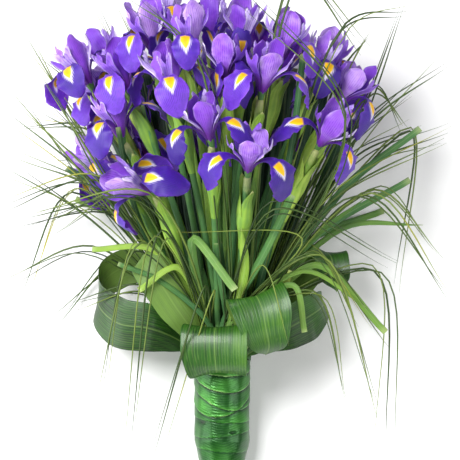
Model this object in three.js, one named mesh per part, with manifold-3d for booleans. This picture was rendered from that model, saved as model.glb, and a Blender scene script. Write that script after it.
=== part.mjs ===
// A hand-tied bouquet of Dutch irises lying on its side, in millimetres, +Z up from the surface.
// Thirty irises, cut leaves and bear grass fan out of one binding point, aspidistra leaves are folded
// round it as a collar, and the stems below it are wrapped in satin ribbon.
//
// The bouquet is drawn in a frame of its own: u across, v along the handle's axis towards the flowers
// and w up out of the side that faces the sky. The whole frame then leans back on the surface.
import * as THREE from "three";
import { mergeVertices } from "three/addons/utils/BufferGeometryUtils.js";
import Module from "manifold-3d";

const wasm = await Module();
wasm.setup();
const { degToRad, lerp, clamp } = THREE.MathUtils;

// Driving dimensions
const stemRadius = 3.1;
const slotSpacing = 7.2; // between stem centres inside the handle
const bindingHeight = 98; // v where the bunch is tied
const stemFoot = 10; // v of the cut stem ends inside the ribbon
const flareFrom = 104; // v where the stems start to spread
const headTop = 420; // v at which the spread of the stems is measured
const flareEarly = 0.28; // share of the spread that comes straight away, the rest comes with a curve
const spatheLength = 72;
const spatheRadius = 6.6;
const ringRadius = 23.6; // where leaf stalks and grass sit between the stems and the tie
const ringThick = 1.8;
const ribbon = {
  radius: 28, top: 101, bottom: -22, taperFrom: 20, endRadius: 16,
  layers: 2, lip: 0.9, // thickness of the wraps round the stems and round the tie
  wraps: 6, lap: 0.5,
};
const tie = { inner: 25.2, outer: 26, turns: 2, pitch: 3 };
const leanDegrees = 11.2; // how far the flowers lift the handle off the surface, before it is set down
const flatSpot = 1; // depth of the ribbon pressed flat where it rests
const clearance = 0.3; // that leaves and grass keep from the surface

// Flowers: u, v, w of the point where the petals meet. turn 0 shows a fall to the sky side, open is how
// wide the falls spread, lean bends the flower left or right and nod bends it up to the sky, in degrees.
const flowers = [
  { at: [-130, 372, 5], turn: -20, open: 0.9 },
  { at: [-106, 386, -34], turn: 30, open: 0.8 },
  { at: [-90, 364, 50], turn: -25, open: 0.85 },
  { at: [-97, 318, 56], turn: 90, open: 0.95, lean: 12 },
  { at: [-104, 282, 6], turn: -11, open: 0.9, lean: -20 },
  { at: [-66, 266, 70], turn: -100, open: 1, lean: -42, nod: 6 },
  { at: [-46, 358, 96], turn: 0, open: 1, nod: -8 },
  { at: [-52, 424, -16], turn: 15, open: 0.8 },
  { at: [-66, 402, 42], turn: -35, open: 0.85 },
  { at: [-30, 396, 82], turn: -5, open: 0.9, nod: -6 },
  { at: [-8, 410, 14], turn: 40, open: 0.8 },
  { at: [20, 404, 52], turn: 20, open: 0.8 },
  { at: [4, 370, 84], turn: -75, open: 0.9 },
  { at: [38, 360, 92], turn: 80, open: 0.95 },
  { at: [92, 376, 36], turn: 12, open: 0.9 },
  { at: [56, 392, 62], turn: 60, open: 0.8 },
  { at: [110, 350, 36], turn: 62, open: 1, lean: 6 },
  { at: [114, 342, -24], turn: 35, open: 0.9 },
  { at: [94, 311, 66], turn: 180, open: 1, nod: 24 },
  { at: [25, 284, 113], turn: 58, open: 1, nod: 2 },
  { at: [-10, 314, 100], turn: -62, open: 1, lean: -12 },
  { at: [-11, 344, 54], turn: 10, open: 0.8 },
  { at: [-72, 300, -36], turn: 165, open: 0.8 },
  { at: [-18, 298, -33], turn: 200, open: 0.75 },
  { at: [76, 304, -43], turn: 60, open: 0.8 },
  { at: [-111, 346, -40], turn: 200, open: 0.85 },
  { at: [-45, 358, -43], turn: 150, open: 0.75 },
  { at: [40, 362, -44], turn: 190, open: 0.75 },
  { at: [10, 392, -50], turn: 170, open: 0.8 },
  { at: [62, 388, -40], turn: 220, open: 0.8 },
];

// Petal outlines: [share of the length, half width], from the throat to the tip
const fall = {
  azimuth: 0,
  arch: [[3, 1], [12, 35], [49, 41], [46, -9]],
  outline: [[0, 0], [0.28, 3.8], [0.52, 6.5], [0.74, 16], [0.92, 11], [1, 0]],
  thick: 1.5,
  cup: 2.2,
};
const standard = {
  azimuth: 60,
  arch: [[2.6, 1], [8, 18], [18, 36], [10, 54]],
  outline: [[0, 0], [0.34, 4.6], [0.66, 11], [0.9, 9], [1, 0]],
  thick: 1.4,
  cup: -2.6,
};
const styleArm = {
  azimuth: 0,
  arch: [[1.4, 2], [6, 26], [19, 34], [27, 44]],
  outline: [[0, 0], [0.5, 5], [1, 8]],
  thick: 1.4,
  cup: 1.6,
};

// What a petal tries in turn until it is clear of its neighbours: reach, dip in mm and swing in degrees
const petalBends = [
  [1, 0, 0], [0.9, 4, 0], [1, 0, 12], [1, 0, -12], [0.8, 6, 0], [0.8, 6, 16], [0.8, 6, -16],
  [0.68, 8, 0], [0.68, 8, 22], [0.68, 8, -22], [0.55, 8, 0], [0.55, 6, 26], [0.55, 6, -26],
  [0.42, 4, 0], [0.42, 4, 24], [0.42, 4, -24], [0.3, 0, 0], [0.3, 0, 25], [0.3, 0, -25],
];

// Broad cut leaves: the bend and the end of each, with half its width. cut leaves a blunt end.
const cutLeaves = [
  { bend: [-118, 268, 10], end: [-155, 292, 6], half: 4, cut: true },
  { bend: [-66, 210, 46], end: [-128, 211, 36], half: 3.6, cut: true },
  { bend: [-44, 194, 58], end: [-81, 171, 60], half: 3.8, cut: true },
  { bend: [-60, 180, 44], end: [-102, 197, 40], half: 3, cut: true },
  { bend: [-28, 222, 60], end: [13, 172, 80], half: 4.6, cut: true },
  { bend: [40, 205, 50], end: [68, 264, 74], half: 4.5, cut: true },
  { bend: [22, 190, 54], end: [19, 232, 78], half: 5.5, cut: false },
  { bend: [96, 226, 20], end: [187, 280, 14], half: 4, cut: true },
  { bend: [120, 232, 0], end: [200, 235, -4], half: 3.4, cut: false },
  { bend: [92, 196, 42], end: [162, 129, 30], half: 4, cut: true },
  { bend: [80, 190, 48], end: [142, 154, 40], half: 3, cut: false },
  { bend: [70, 176, 74], end: [81, 130, 84], half: 3.5, cut: true },
  { bend: [120, 270, 22], end: [197, 331, 16], half: 4, cut: true },
  { bend: [86, 218, 38], end: [142, 262, 40], half: 3.2, cut: false },
  { bend: [66, 300, 66], end: [79, 400, 84], half: 3.6, cut: true },
  { bend: [-84, 246, 30], end: [-101, 330, 72], half: 3, cut: true },
  { bend: [-80, 230, -52], end: [-150, 262, -60], half: 4, cut: true },
  { bend: [90, 220, -50], end: [165, 250, -62], half: 4, cut: true },
];

// Bear grass: the bend and the tip of each blade
const grass = [
  { bend: [-120, 270, 36], end: [-219, 352, 20] },
  { bend: [-110, 262, 20], end: [-205, 301, 4] },
  { bend: [-130, 240, 14], end: [-221, 295, 0] },
  { bend: [-110, 300, -20], end: [-191, 354, -34] },
  { bend: [-118, 330, -34], end: [-208, 335, -44] },
  { bend: [-120, 278, 44], end: [-219, 246, 30] },
  { bend: [-70, 266, 84], end: [-194, 243, 60] },
  { bend: [-92, 266, 74], end: [-172, 236, 64] },
  { bend: [-110, 250, 8], end: [-205, 241, -18] },
  { bend: [-150, 268, -30], end: [-205, 160, -58] },
  { bend: [-130, 214, -10], end: [-217, 181, -30] },
  { bend: [-130, 310, -24], end: [-205, 438, -20] },
  { bend: [-100, 330, -60], end: [-192, 411, -50] },
  { bend: [-70, 330, -72], end: [-127, 462, -40] },
  { bend: [-60, 350, -76], end: [-110, 464, -62] },
  { bend: [-26, 400, 112], end: [-90, 454, 84] },
  { bend: [-120, 290, 60], end: [-178, 381, 50] },
  { bend: [-120, 264, 52], end: [-215, 375, 34] },
  { bend: [118, 340, 84], end: [19, 462, 78] },
  { bend: [40, 380, -70], end: [72, 464, -52] },
  { bend: [76, 470, 96], end: [135, 400, 70] },
  { bend: [120, 430, 70], end: [181, 444, 40] },
  { bend: [128, 320, 20], end: [179, 452, 20] },
  { bend: [140, 330, 40], end: [224, 392, 20] },
  { bend: [120, 390, 50], end: [144, 419, 60] },
  { bend: [150, 372, -20], end: [180, 334, -30] },
  { bend: [130, 300, -10], end: [191, 330, -20] },
  { bend: [140, 290, -30], end: [228, 328, -50] },
  { bend: [110, 260, 30], end: [220, 321, 26] },
  { bend: [190, 330, -40], end: [175, 175, -62] },
  { bend: [150, 270, 40], end: [218, 202, 40] },
  { bend: [140, 264, 58], end: [227, 155, 40] },
  { bend: [50, 250, 96], end: [169, 198, 84] },
  { bend: [96, 206, 76], end: [158, 30, 24] },
  { bend: [150, 190, 30], end: [165, 0, -10] },
  { bend: [90, 170, 66], end: [122, 62, 40] },
  { bend: [90, 210, 40], end: [134, 135, 44] },
  { bend: [-78, 218, 66], end: [-125, 60, 28] },
  { bend: [-58, 230, 82], end: [-93, 0, 10] },
  { bend: [78, 222, 80], end: [-44, 228, 84] },
  { bend: [40, 196, 78], end: [65, 118, 86] },
  { bend: [-16, 176, 84], end: [-71, -6, 24] },
  { bend: [-80, 176, 22], end: [-150, 158, 0] },
  { bend: [-90, 300, -60], end: [-180, 300, -74] },
  { bend: [-40, 300, -84], end: [-70, 440, -90] },
  { bend: [60, 320, -86], end: [110, 440, -70] },
  { bend: [110, 300, -60], end: [190, 380, -60] },
  { bend: [-100, 200, -50], end: [-170, 130, -46] },
  { bend: [100, 190, -46], end: [170, 110, -40] },
];

// Aspidistra leaves: points of the midrib with half the width there, and the way across at both ends
const collarLeaves = [
  {
    stalk: -88,
    midrib: [[-31, 110, 1, 5], [-46, 122, 14, 15], [-72, 133, 32, 24], [-103, 138, 26, 25],
      [-123, 157, 8, 22], [-117, 180, -8, 20], [-96, 193, -15, 19], [-70, 190, -14, 12],
      [-62, 184, -12, 0]],
    across: [[0.2, 1, 0], [0.1, 1, 0.25]],
  },
  {
    stalk: -48,
    midrib: [[-24, 112, 21, 5], [-31, 132, 34, 12], [-48, 158, 46, 18], [-64, 184, 50, 19],
      [-76, 203, 42, 18], [-74, 206, 24, 15], [-62, 192, 20, 0]],
    across: [[0.5, 0.6, -0.2], [0.55, 0.7, 0]],
  },
  {
    stalk: -9,
    midrib: [[-4, 108, 31, 8], [-5, 124, 46, 20], [-6, 135, 58, 32], [-7, 130, 68, 34],
      [-7, 114, 71, 34], [-6, 98, 65, 32], [-5, 90, 52, 28], [-5, 96, 41, 0]],
    across: [[1, 0, 0.1], [0.93, 0.06, 0.36]],
  },
  {
    stalk: 33,
    midrib: [[18, 110, 27, 6], [26, 136, 40, 15], [30, 158, 54, 27], [33, 166, 65, 29],
      [39, 154, 75, 29], [43, 134, 77, 25], [46, 116, 66, 17], [43, 107, 52, 0]],
    across: [[0.85, 0.4, 0], [0.95, 0.25, 0]],
  },
  {
    stalk: 76,
    midrib: [[31.5, 110, 10, 5], [46, 121, 22, 14], [64, 132, 34, 22], [83, 143, 37, 24],
      [97, 152, 29, 19], [101, 157, 15, 11], [96, 158, 4, 0]],
    across: [[-0.2, 0.95, 0.2], [-0.3, 0.8, 0.5]],
  },
  {
    stalk: 94,
    midrib: [[32, 110, -5, 6], [58, 146, -14, 12], [84, 186, -12, 16], [100, 208, -1, 17],
      [108, 204, 13, 17], [112, 184, 19, 16], [114, 168, 14, 0]],
    across: [[0.8, -0.5, 0.3], [1, -0.15, 0.2]],
  },
];

// Where grass and cut leaves sit in the ring, in degrees from the sky side
const tuftAngles = [-112, -66, -27, 12, 50, 112, 165];

// What a leaf beside a stem tries in turn: how high up the stem it ends, as a share, and how far from it
const sheathTries = [[0.78, 9], [0.7, 12], [0.62, 8], [0.5, 9], [0.78, 15], [0.6, 14], [0.42, 6]];

// Closed solids from three.js geometries
function mergedMesh(geometry) {
  const bare = geometry.clone();
  bare.deleteAttribute("normal");
  bare.deleteAttribute("uv");
  const merged = mergeVertices(bare, 1e-3);
  const corners = merged.index.array;
  const triVerts = [];
  for (let i = 0; i < corners.length; i += 3) {
    const [a, b, c] = corners.slice(i, i + 3);
    if (a !== b && b !== c && c !== a) triVerts.push(a, b, c);
  }
  const vertProperties = merged.attributes.position.array;
  return { numProp: 3, vertProperties, triVerts: new Uint32Array(triVerts) };
}

function solidFrom(geometry) {
  return new wasm.Manifold(new wasm.Mesh(mergedMesh(geometry)));
}

// True where every edge lies between exactly two triangles
function isSimple({ triVerts, vertProperties }) {
  const uses = new Map();
  for (let i = 0; i < triVerts.length; i++) {
    const next = i % 3 === 2 ? i - 2 : i + 1;
    const [low, high] = [triVerts[i], triVerts[next]].sort((a, b) => a - b);
    const edge = low * vertProperties.length + high;
    uses.set(edge, (uses.get(edge) ?? 0) + 1);
  }
  return [...uses.values()].every((count) => count === 2);
}

function geometryFrom(solid) {
  const mesh = solid.getMesh();
  const points = new Float32Array(mesh.numVert * 3);
  for (let i = 0; i < mesh.numVert; i++) {
    points.set(mesh.vertProperties.subarray(i * mesh.numProp, i * mesh.numProp + 3), i * 3);
  }
  const geometry = new THREE.BufferGeometry();
  geometry.setAttribute("position", new THREE.BufferAttribute(points, 3));
  geometry.setIndex(new THREE.BufferAttribute(mesh.triVerts, 1));
  return geometry;
}

// Splits the quads of a cylinder's far half along the diagonal that the near half shows at the same place,
// so that the two faces of a thin twisted blade run side by side
function matchDiagonals(index, sides, segments) {
  for (let quad = 0; quad < sides * segments; quad++) {
    const column = Math.floor(quad / segments);
    if (Math.cos((column + 0.5) * 2 * Math.PI / sides) < -0.1) {
      const [a, b, d, , c] = index.slice(quad * 6, quad * 6 + 6);
      index.set([a, b, c, a, c, d], quad * 6);
    }
  }
}

// A cylinder's rings of vertices carried along a row of { centre, along, side, half, thick, cup }:
// half a width to each side, half a thickness to each face. A row of no width closes to a point,
// and one of no thickness to an edge.
function bladeFrom(rows, sides = 4) {
  const geometry = new THREE.CylinderGeometry(1, 1, 1, sides, rows.length - 1, true);
  matchDiagonals(geometry.index.array, sides, rows.length - 1);
  const position = geometry.attributes.position;
  const point = new THREE.Vector3();
  const face = new THREE.Vector3();
  for (let i = 0; i < position.count; i++) {
    const row = rows[Math.round((position.getY(i) + 0.5) * (rows.length - 1))];
    const across = Math.round(position.getX(i) * 1e6) / 1e6;
    const over = Math.round(position.getZ(i) * 1e6) / 1e6;
    face.crossVectors(row.side, row.along).normalize();
    point.copy(row.centre).addScaledVector(row.side, across * row.half);
    point.addScaledVector(face, over * row.thick / 2 + (row.cup ?? 0) * across * across);
    position.setXYZ(i, point.x, point.y, point.z);
  }
  return solidFrom(geometry);
}

// Rows along a curve, with the way across turned square to the curve and never turned over between two rows
function rowsAlong(curve, shares, acrossAt, sizeAt) {
  const rows = [];
  shares.forEach((share, i) => {
    const along = curve.getTangent(share);
    const across = acrossAt(share);
    const side = across.addScaledVector(along, -across.dot(along)).normalize();
    if (i > 0 && side.dot(rows[i - 1].side) < 0) side.negate();
    rows.push({ centre: curve.getPoint(share), along, side, ...sizeAt(share, i) });
  });
  return rows;
}

// What is already placed, with the node that it belongs to
const placed = [];

function keep(solid, node) {
  placed.push({ solid, node, box: solid.boundingBox() });
}

function boxesMeet(a, b) {
  return [0, 1, 2].every((i) => a.min[i] <= b.max[i] && b.min[i] <= a.max[i]);
}

// The surface under the bouquet: first a guess, then the plane that its lowest points touch
let layDown = guessedSurface();

function guessedSurface() {
  const lean = new THREE.Matrix4().makeRotationX(degToRad(leanDegrees));
  const underside = new THREE.Vector3(0, ribbon.taperFrom, flatSpot - ribbon.radius).applyMatrix4(lean);
  return new THREE.Matrix4().makeTranslation(0, 0, -underside.z).multiply(lean);
}

// Finds the face of the wrapping hull that lies under the weight and turns it flat
function touchedSurface(solids, weightAt) {
  const hull = geometryFrom(wasm.Manifold.hull(solids)).toNonIndexed().attributes.position;
  const down = new THREE.Ray(weightAt, new THREE.Vector3(0, 0, -1));
  const face = new THREE.Triangle();
  const hit = new THREE.Vector3();
  for (let i = 0; i < hull.count; i += 3) {
    face.setFromAttributeAndIndices(hull, i, i + 1, i + 2);
    if (face.getNormal(hit).z < 0 && down.intersectTriangle(face.a, face.b, face.c, false, hit)) break;
  }
  const turn = new THREE.Quaternion().setFromUnitVectors(face.getNormal(hit), new THREE.Vector3(0, 0, -1));
  const level = face.a.clone().applyQuaternion(turn).z;
  const turned = new THREE.Matrix4().makeRotationFromQuaternion(turn);
  return new THREE.Matrix4().makeTranslation(0, 0, -level).multiply(turned);
}

function heightOf(solid) {
  return solid.transform(layDown.elements).boundingBox().min[2];
}

function isClear(solid, node) {
  const box = solid.boundingBox();
  const near = placed.filter((other) => other.node !== node && boxesMeet(box, other.box));
  return heightOf(solid) > clearance && near.every((other) => solid.intersect(other.solid).isEmpty());
}

// Blades of one tuft may only meet near their common foot
function leavesTuftAlone(solid, node) {
  const box = solid.boundingBox();
  const mates = placed.filter((p) => p.node === node && boxesMeet(box, p.box));
  return mates.every((mate) => {
    const shared = solid.intersect(mate.solid);
    return shared.isEmpty() || shared.boundingBox().max[1] < flareFrom + 50;
  });
}

function largestOf(solid) {
  return solid.decompose().sort((a, b) => b.volume() - a.volume())[0];
}

// One closed body of all that a node holds, with the corners that fall together merged. Where the merging
// pinches it to an edge, it is simplified a little differently.
function joined(node) {
  const whole = largestOf(wasm.Manifold.union(placed.filter((p) => p.node === node).map((p) => p.solid)));
  for (const coarseness of [0.14, 0.2, 0.13, 0.25, 0.1, 0]) {
    const mesh = mergedMesh(geometryFrom(whole.asOriginal().simplify(coarseness)));
    if (isSimple(mesh)) return largestOf(new wasm.Manifold(new wasm.Mesh(mesh)));
  }
  throw new Error(`${node} isn't one closed body`);
}

// Stems: each keeps its own slot in the handle and all spread by one rule, so none cross
function stemSlots(count) {
  const slots = [];
  for (let row = -4; row <= 4; row++) {
    for (let column = -4; column <= 4; column++) {
      slots.push([(column + row / 2) * slotSpacing, row * slotSpacing * Math.sqrt(0.75)]);
    }
  }
  return slots.sort((a, b) => Math.hypot(...a) - Math.hypot(...b)).slice(0, count);
}

function spreadAt(v) {
  const share = Math.max(0, (v - flareFrom) / (headTop - flareFrom));
  return flareEarly * share + (1 - flareEarly) * share ** 1.6;
}

// Swaps slots until every pair of stems spreads in the order in which it stands
function matchSlots(goals) {
  const slots = stemSlots(goals.length);
  let swapped = true;
  while (swapped) {
    swapped = false;
    for (let i = 0; i < goals.length; i++) {
      for (let j = i + 1; j < goals.length; j++) {
        const order = [0, 1].map((k) => (slots[i][k] - slots[j][k]) * (goals[i][k] - goals[j][k]));
        if (order[0] + order[1] < 0) {
          [slots[i], slots[j]] = [slots[j], slots[i]];
          swapped = true;
        }
      }
    }
  }
  return slots;
}

function stemCurve(slot, at) {
  const goal = [0, 1].map((k) => ([at[0], at[2]][k] - slot[k]) / spreadAt(at[1]));
  const points = Array.from({ length: 25 }, (unused, i) => {
    const v = lerp(stemFoot, at[1], i / 24);
    return new THREE.Vector3(slot[0] + goal[0] * spreadAt(v), v, slot[1] + goal[1] * spreadAt(v));
  });
  return new THREE.CatmullRomCurve3(points);
}

function stemSolid(curve, top) {
  const stations = [[stemFoot, 0], [stemFoot + 1, stemRadius]];
  for (const v of [flareFrom, 142, 200, 260, 320]) {
    if (v < top - spatheLength - 25) stations.push([v, stemRadius]);
  }
  for (const [drop, radius] of [[1, stemRadius], [0.55, spatheRadius], [0.22, 5.2], [0.09, 0]]) {
    stations.push([top - drop * spatheLength, radius]);
  }
  const shares = stations.map(([v]) => (v - stemFoot) / (top - stemFoot));
  const rows = rowsAlong(curve, shares, () => new THREE.Vector3(1, 0, 0), (share, i) => {
    return { half: stations[i][1], thick: 2 * stations[i][1] };
  });
  return bladeFrom(rows, 5);
}

// Flowers
function flowerFrame(curve, flower) {
  const axis = curve.getTangent(1);
  axis.applyAxisAngle(new THREE.Vector3(0, 0, 1), degToRad(-(flower.lean ?? 0)));
  axis.applyAxisAngle(new THREE.Vector3(1, 0, 0), degToRad(flower.nod ?? 0));
  const sky = new THREE.Vector3(0, 0, 1);
  sky.addScaledVector(axis, -sky.dot(axis)).normalize();
  const right = new THREE.Vector3().crossVectors(axis, sky);
  const place = curve.getPoint(1);
  return new THREE.Matrix4().makeBasis(sky, right, axis).setPosition(place);
}

// A petal of a flower whose axis is z: its midline is an arch of [distance from the axis, height]
function petalSolid(petal, azimuth, bend = [1, 0, 0]) {
  const [reach, dip, swing] = bend;
  const angle = degToRad(azimuth);
  const tipAngle = degToRad(azimuth + swing);
  const points = petal.arch.map(([r, h], i) => {
    const turned = i < 2 ? angle : tipAngle;
    const out = i < 1 ? r : r * reach;
    return new THREE.Vector3(out * Math.cos(turned), out * Math.sin(turned), i === 3 ? h - dip : h);
  });
  const curve = new THREE.CubicBezierCurve3(...points);
  const across = () => new THREE.Vector3(-Math.sin(angle), Math.cos(angle), 0);
  const narrow = 0.6 + 0.4 * reach;
  const rows = rowsAlong(curve, petal.outline.map(([share]) => share), across, (share, i) => {
    const half = petal.outline[i][1] * narrow;
    const end = i === 0 || share === 1;
    return { half, thick: end ? 0 : petal.thick, cup: end ? 0 : petal.cup * half / 16 };
  });
  return bladeFrom(rows);
}

function tubeSolid() {
  const shape = new THREE.CylinderGeometry(4.2, 2.2, 9, 6);
  return solidFrom(shape.rotateX(Math.PI / 2).translate(0, 0, 0.5));
}

// A flower on its stem, whose last part is the spathe under the tube
function growStem(flower, slot, stemNode, bloomNode) {
  const curve = stemCurve(slot, flower.at);
  const frame = flowerFrame(curve, flower);
  const stem = stemSolid(curve, flower.at[1]);
  const tube = tubeSolid().transform(frame.elements);
  if (!isClear(stem, stemNode) || !isClear(tube, bloomNode)) {
    throw new Error(`${bloomNode} meets another stem`);
  }
  keep(stem, stemNode);
  keep(tube, bloomNode);
  return { curve, frame };
}

// Bends a petal until it is clear of the other flowers; one that finds no room is left out
function placePetal(node, frame, petal, azimuth, open) {
  for (const [reach, dip, swing] of petalBends) {
    const solid = petalSolid(petal, azimuth, [reach * open, dip, swing]).transform(frame.elements);
    if (isClear(solid, node)) {
      keep(solid, node);
      return true;
    }
  }
  return false;
}

// Leaves and grass that leave the ring round the stems
function ringPoint(degrees, v, radius = ringRadius) {
  const angle = degToRad(degrees);
  return new THREE.Vector3(radius * Math.sin(angle), v, radius * Math.cos(angle));
}

// The way across a blade lies along the ring at its foot and turns to its own higher up
function acrossFromRing(degrees, wayAt) {
  const foot = ringPoint(degrees + 90, 0).normalize();
  return (share) => {
    const way = wayAt(share);
    const nearer = foot.dot(way) < 0 ? foot.clone().negate() : foot.clone();
    return nearer.lerp(way, clamp((share - 0.14) / 0.2, 0, 1));
  };
}

// The common foot of a tuft: height, distance outside the ring, half width and thickness
function tuftRoot(degrees) {
  const stations = [
    [60, 0, 0, 0], [62, 0, 3, ringThick], [104, 0, 3, ringThick], [122, 6.8, 6, 5], [130, 9.5, 0, 0],
  ];
  const rows = stations.map(([v, outward, half, thick]) => ({
    centre: ringPoint(degrees, v, ringRadius + outward),
    along: new THREE.Vector3(0, 1, 0),
    side: ringPoint(degrees + 90, 0).normalize(),
    half,
    thick,
  }));
  return bladeFrom(rows);
}

function bladeCurve(degrees, bend, end, depth, order) {
  const beside = degrees + 1.7 * (((order * 5) % 11) - 5);
  const root = ringPoint(lerp(degrees, beside, 0.5), flareFrom + 11, ringRadius + 3.5);
  const free = ringPoint(beside, flareFrom + 32, ringRadius + 9 + 2 * (order % 3));
  const middle = new THREE.Vector3(...bend).add(new THREE.Vector3(0, 0, depth));
  const tip = new THREE.Vector3(...end).add(new THREE.Vector3(0, 0, depth));
  return new THREE.CatmullRomCurve3([root, free, middle, tip], false, "centripetal");
}

function nearestTuft(bend) {
  const towards = THREE.MathUtils.radToDeg(Math.atan2(bend[0], bend[2]));
  const apart = (angle) => Math.abs(((angle - towards + 540) % 360) - 180);
  return [...tuftAngles].sort((a, b) => apart(a) - apart(b));
}

function placeBlade({ bend, end, half = 1.3, cut = false }) {
  const sky = new THREE.Vector3(0, 0.4, 1);
  const wide = half > 2;
  const shares = wide ? [0, 0.33, 0.6, 0.84, 1] : [0, 0.33, 0.5, 0.66, 0.84, 1];
  for (const depth of [0, 8, -8, 16, -16, 26, -26, 38, -38]) {
    for (const degrees of nearestTuft(bend).slice(0, 2)) {
      const node = tuftNames.get(degrees);
      const order = placed.filter((p) => p.node === node).length;
      const curve = bladeCurve(degrees, bend, end, depth, order);
      const facingSky = (share) => curve.getTangent(share).cross(sky).normalize();
      const rows = rowsAlong(curve, shares, acrossFromRing(degrees, facingSky), (share, i) => {
        const open = clamp(share / 0.35, 0.35, 1);
        if (i === 0) return { half: 0, thick: 0 };
        if (share === 1) return { half: cut ? half * 0.8 : 0, thick: 0 };
        return { half: half * open, thick: wide ? 1.5 : 1.8, cup: wide ? -0.8 : 0 };
      });
      const solid = bladeFrom(rows, wide ? 4 : 3);
      if (isClear(solid, node) && leavesTuftAlone(solid, node)) {
        keep(solid, node);
        return true;
      }
    }
  }
  return false;
}

// A leaf that rises beside its stem and joins it to its neighbour at the foot
function placeSheathLeaf(node, curves, turn) {
  const middle = (share) => curves[0].getPoint(share).lerp(curves[1].getPoint(share), 0.5);
  const between = () => curves[1].getPoint(0.1).sub(curves[0].getPoint(0.1)).normalize();
  const upright = new THREE.LineCurve3(middle(0).setY(20), middle(0).setY(84));
  const bridge = rowsAlong(upright, [0, 0.2, 0.9, 1], between, (share, i) => ({
    half: i === 0 || i === 3 ? 0 : 3.6,
    thick: i === 0 || i === 3 ? 0 : 2.6,
  }));
  keep(bladeFrom(bridge), node);
  for (const [height, aside] of sheathTries) {
    for (let step = 0; step < 8; step++) {
      const angle = turn + step * Math.PI / 4;
      const out = new THREE.Vector3(Math.cos(angle), 0, Math.sin(angle));
      const host = curves[step % 2];
      const line = [[0.2, 0], [0.3, 1.5], [0.42, 5], [height, aside]].map(([share, gap]) => {
        return host.getPoint(share).addScaledVector(out, gap);
      });
      const curve = new THREE.CatmullRomCurve3(line);
      const flat = new THREE.Vector3(-out.z, 0, out.x);
      const rows = rowsAlong(curve, [0, 0.2, 0.5, 0.8, 1], () => flat.clone(), (share, i) => ({
        half: [0, 3.6, 5, 4.6, i === 4 ? 1.6 : 0][i],
        thick: [0, 1.6, 1.6, 1.4, 0][i],
        cup: [0, -1, -1, -0.8, 0][i],
      }));
      const solid = bladeFrom(rows);
      if (isClear(solid, node)) {
        keep(solid, node);
        return;
      }
    }
  }
}

// Aspidistra collar
function collarLeafSolid({ stalk, midrib, across }) {
  const ring = [70, 86, 102].map((v) => [...ringPoint(stalk, v).toArray(), 2.2]);
  const points = [...ring, ...midrib];
  const knots = points.map(([u, v, w]) => new THREE.Vector3(u, v, w));
  const curve = new THREE.CatmullRomCurve3(knots, false, "centripetal");
  const shares = Array.from({ length: 16 }, (unused, i) => i / 15);
  const [from, to] = across.map((way) => new THREE.Vector3(...way));
  const acrossAt = acrossFromRing(stalk, (share) => from.clone().lerp(to, share));
  const rows = rowsAlong(curve, shares, acrossAt, (share) => {
    const place = share * (points.length - 1);
    const before = Math.min(Math.floor(place), points.length - 2);
    const half = lerp(points[before][3], points[before + 1][3], place - before);
    const end = share === 0 || share === 1;
    return { half: end ? 0 : half, thick: end ? 0 : 1.6, cup: end ? 0 : -0.09 * half };
  });
  return bladeFrom(rows, 6);
}

// Satin ribbon: overlapping wraps round the stems, drawn in and closed at the foot
function ribbonSolid(depth = 0) {
  const { layers, lip, top, bottom, taperFrom, endRadius, wraps, lap } = ribbon;
  const radius = ribbon.radius - depth;
  const drawnIn = (v) => clamp((taperFrom - v) / (taperFrom - bottom), 0, 1);
  const outerAt = (v) => lerp(radius, endRadius, drawnIn(v));
  const outer = [[0, bottom], [outerAt(bottom) * 0.8, bottom]];
  const step = (top - bottom - 3) / wraps;
  for (let i = 0; i < wraps; i++) {
    const low = bottom + 3 + i * step;
    outer.push([outerAt(low), low], [outerAt(low + step) - lap, low + step - 0.6]);
  }
  const walls = [
    [top, lip], [bindingHeight - 10, lip], [bindingHeight - 14, layers], [taperFrom, layers],
    [bottom + 4, layers],
  ];
  const inner = walls.map(([v, wall]) => [outerAt(v) - lap - wall, v]);
  const profile = [...outer, [radius - lap, top], ...inner, [0, bottom + 4]];
  return solidFrom(new THREE.LatheGeometry(profile.map(([r, v]) => new THREE.Vector2(r, v)), 20));
}

function pressedFlat(solid) {
  const below = new THREE.BoxGeometry(80, 300, 20).translate(0, 0, -10);
  return solid.subtract(solidFrom(below.applyMatrix4(layDown.clone().invert())));
}

function tieSolid() {
  const foot = bindingHeight - 8;
  const head = foot + tie.pitch * tie.turns;
  const profile = [[tie.inner, foot]];
  for (let i = 0; i < tie.turns; i++) {
    profile.push([tie.outer - 0.2, foot + tie.pitch * i], [tie.outer, foot + tie.pitch * (i + 0.5)]);
  }
  profile.push([tie.outer - 0.2, head], [tie.inner, head], profile[0]);
  return solidFrom(new THREE.LatheGeometry(profile.map(([r, v]) => new THREE.Vector2(r, v)), 20));
}

// Assembly
const bouquet = new THREE.Group();
const group = new THREE.Group();
group.add(bouquet);

const finishes = {
  bloom: new THREE.MeshStandardMaterial({ color: 0x5a35c8, roughness: 0.6 }),
  stem: new THREE.MeshStandardMaterial({ color: 0x5d8a3a, roughness: 0.6 }),
  grass: new THREE.MeshStandardMaterial({ color: 0x4d7a2c, roughness: 0.6 }),
  collar: new THREE.MeshStandardMaterial({ color: 0x2f6a24, roughness: 0.35 }),
  ribbon: new THREE.MeshStandardMaterial({ color: 0x2f9a3c, roughness: 0.3 }),
  tie: new THREE.MeshStandardMaterial({ color: 0xb9a06a, roughness: 0.8 }),
};

function addMesh(name, solid, material, frame = new THREE.Matrix4()) {
  const geometry = geometryFrom(solid).applyMatrix4(frame.clone().invert());
  const mesh = new THREE.Mesh(geometry, material.clone());
  mesh.name = name;
  mesh.applyMatrix4(frame);
  bouquet.add(mesh);
}

const numbered = (name, i) => `${name}_${String(i + 1).padStart(2, "0")}`;
const tuftNames = new Map(tuftAngles.map((degrees, i) => [degrees, numbered("foliage_tuft", i)]));

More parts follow.
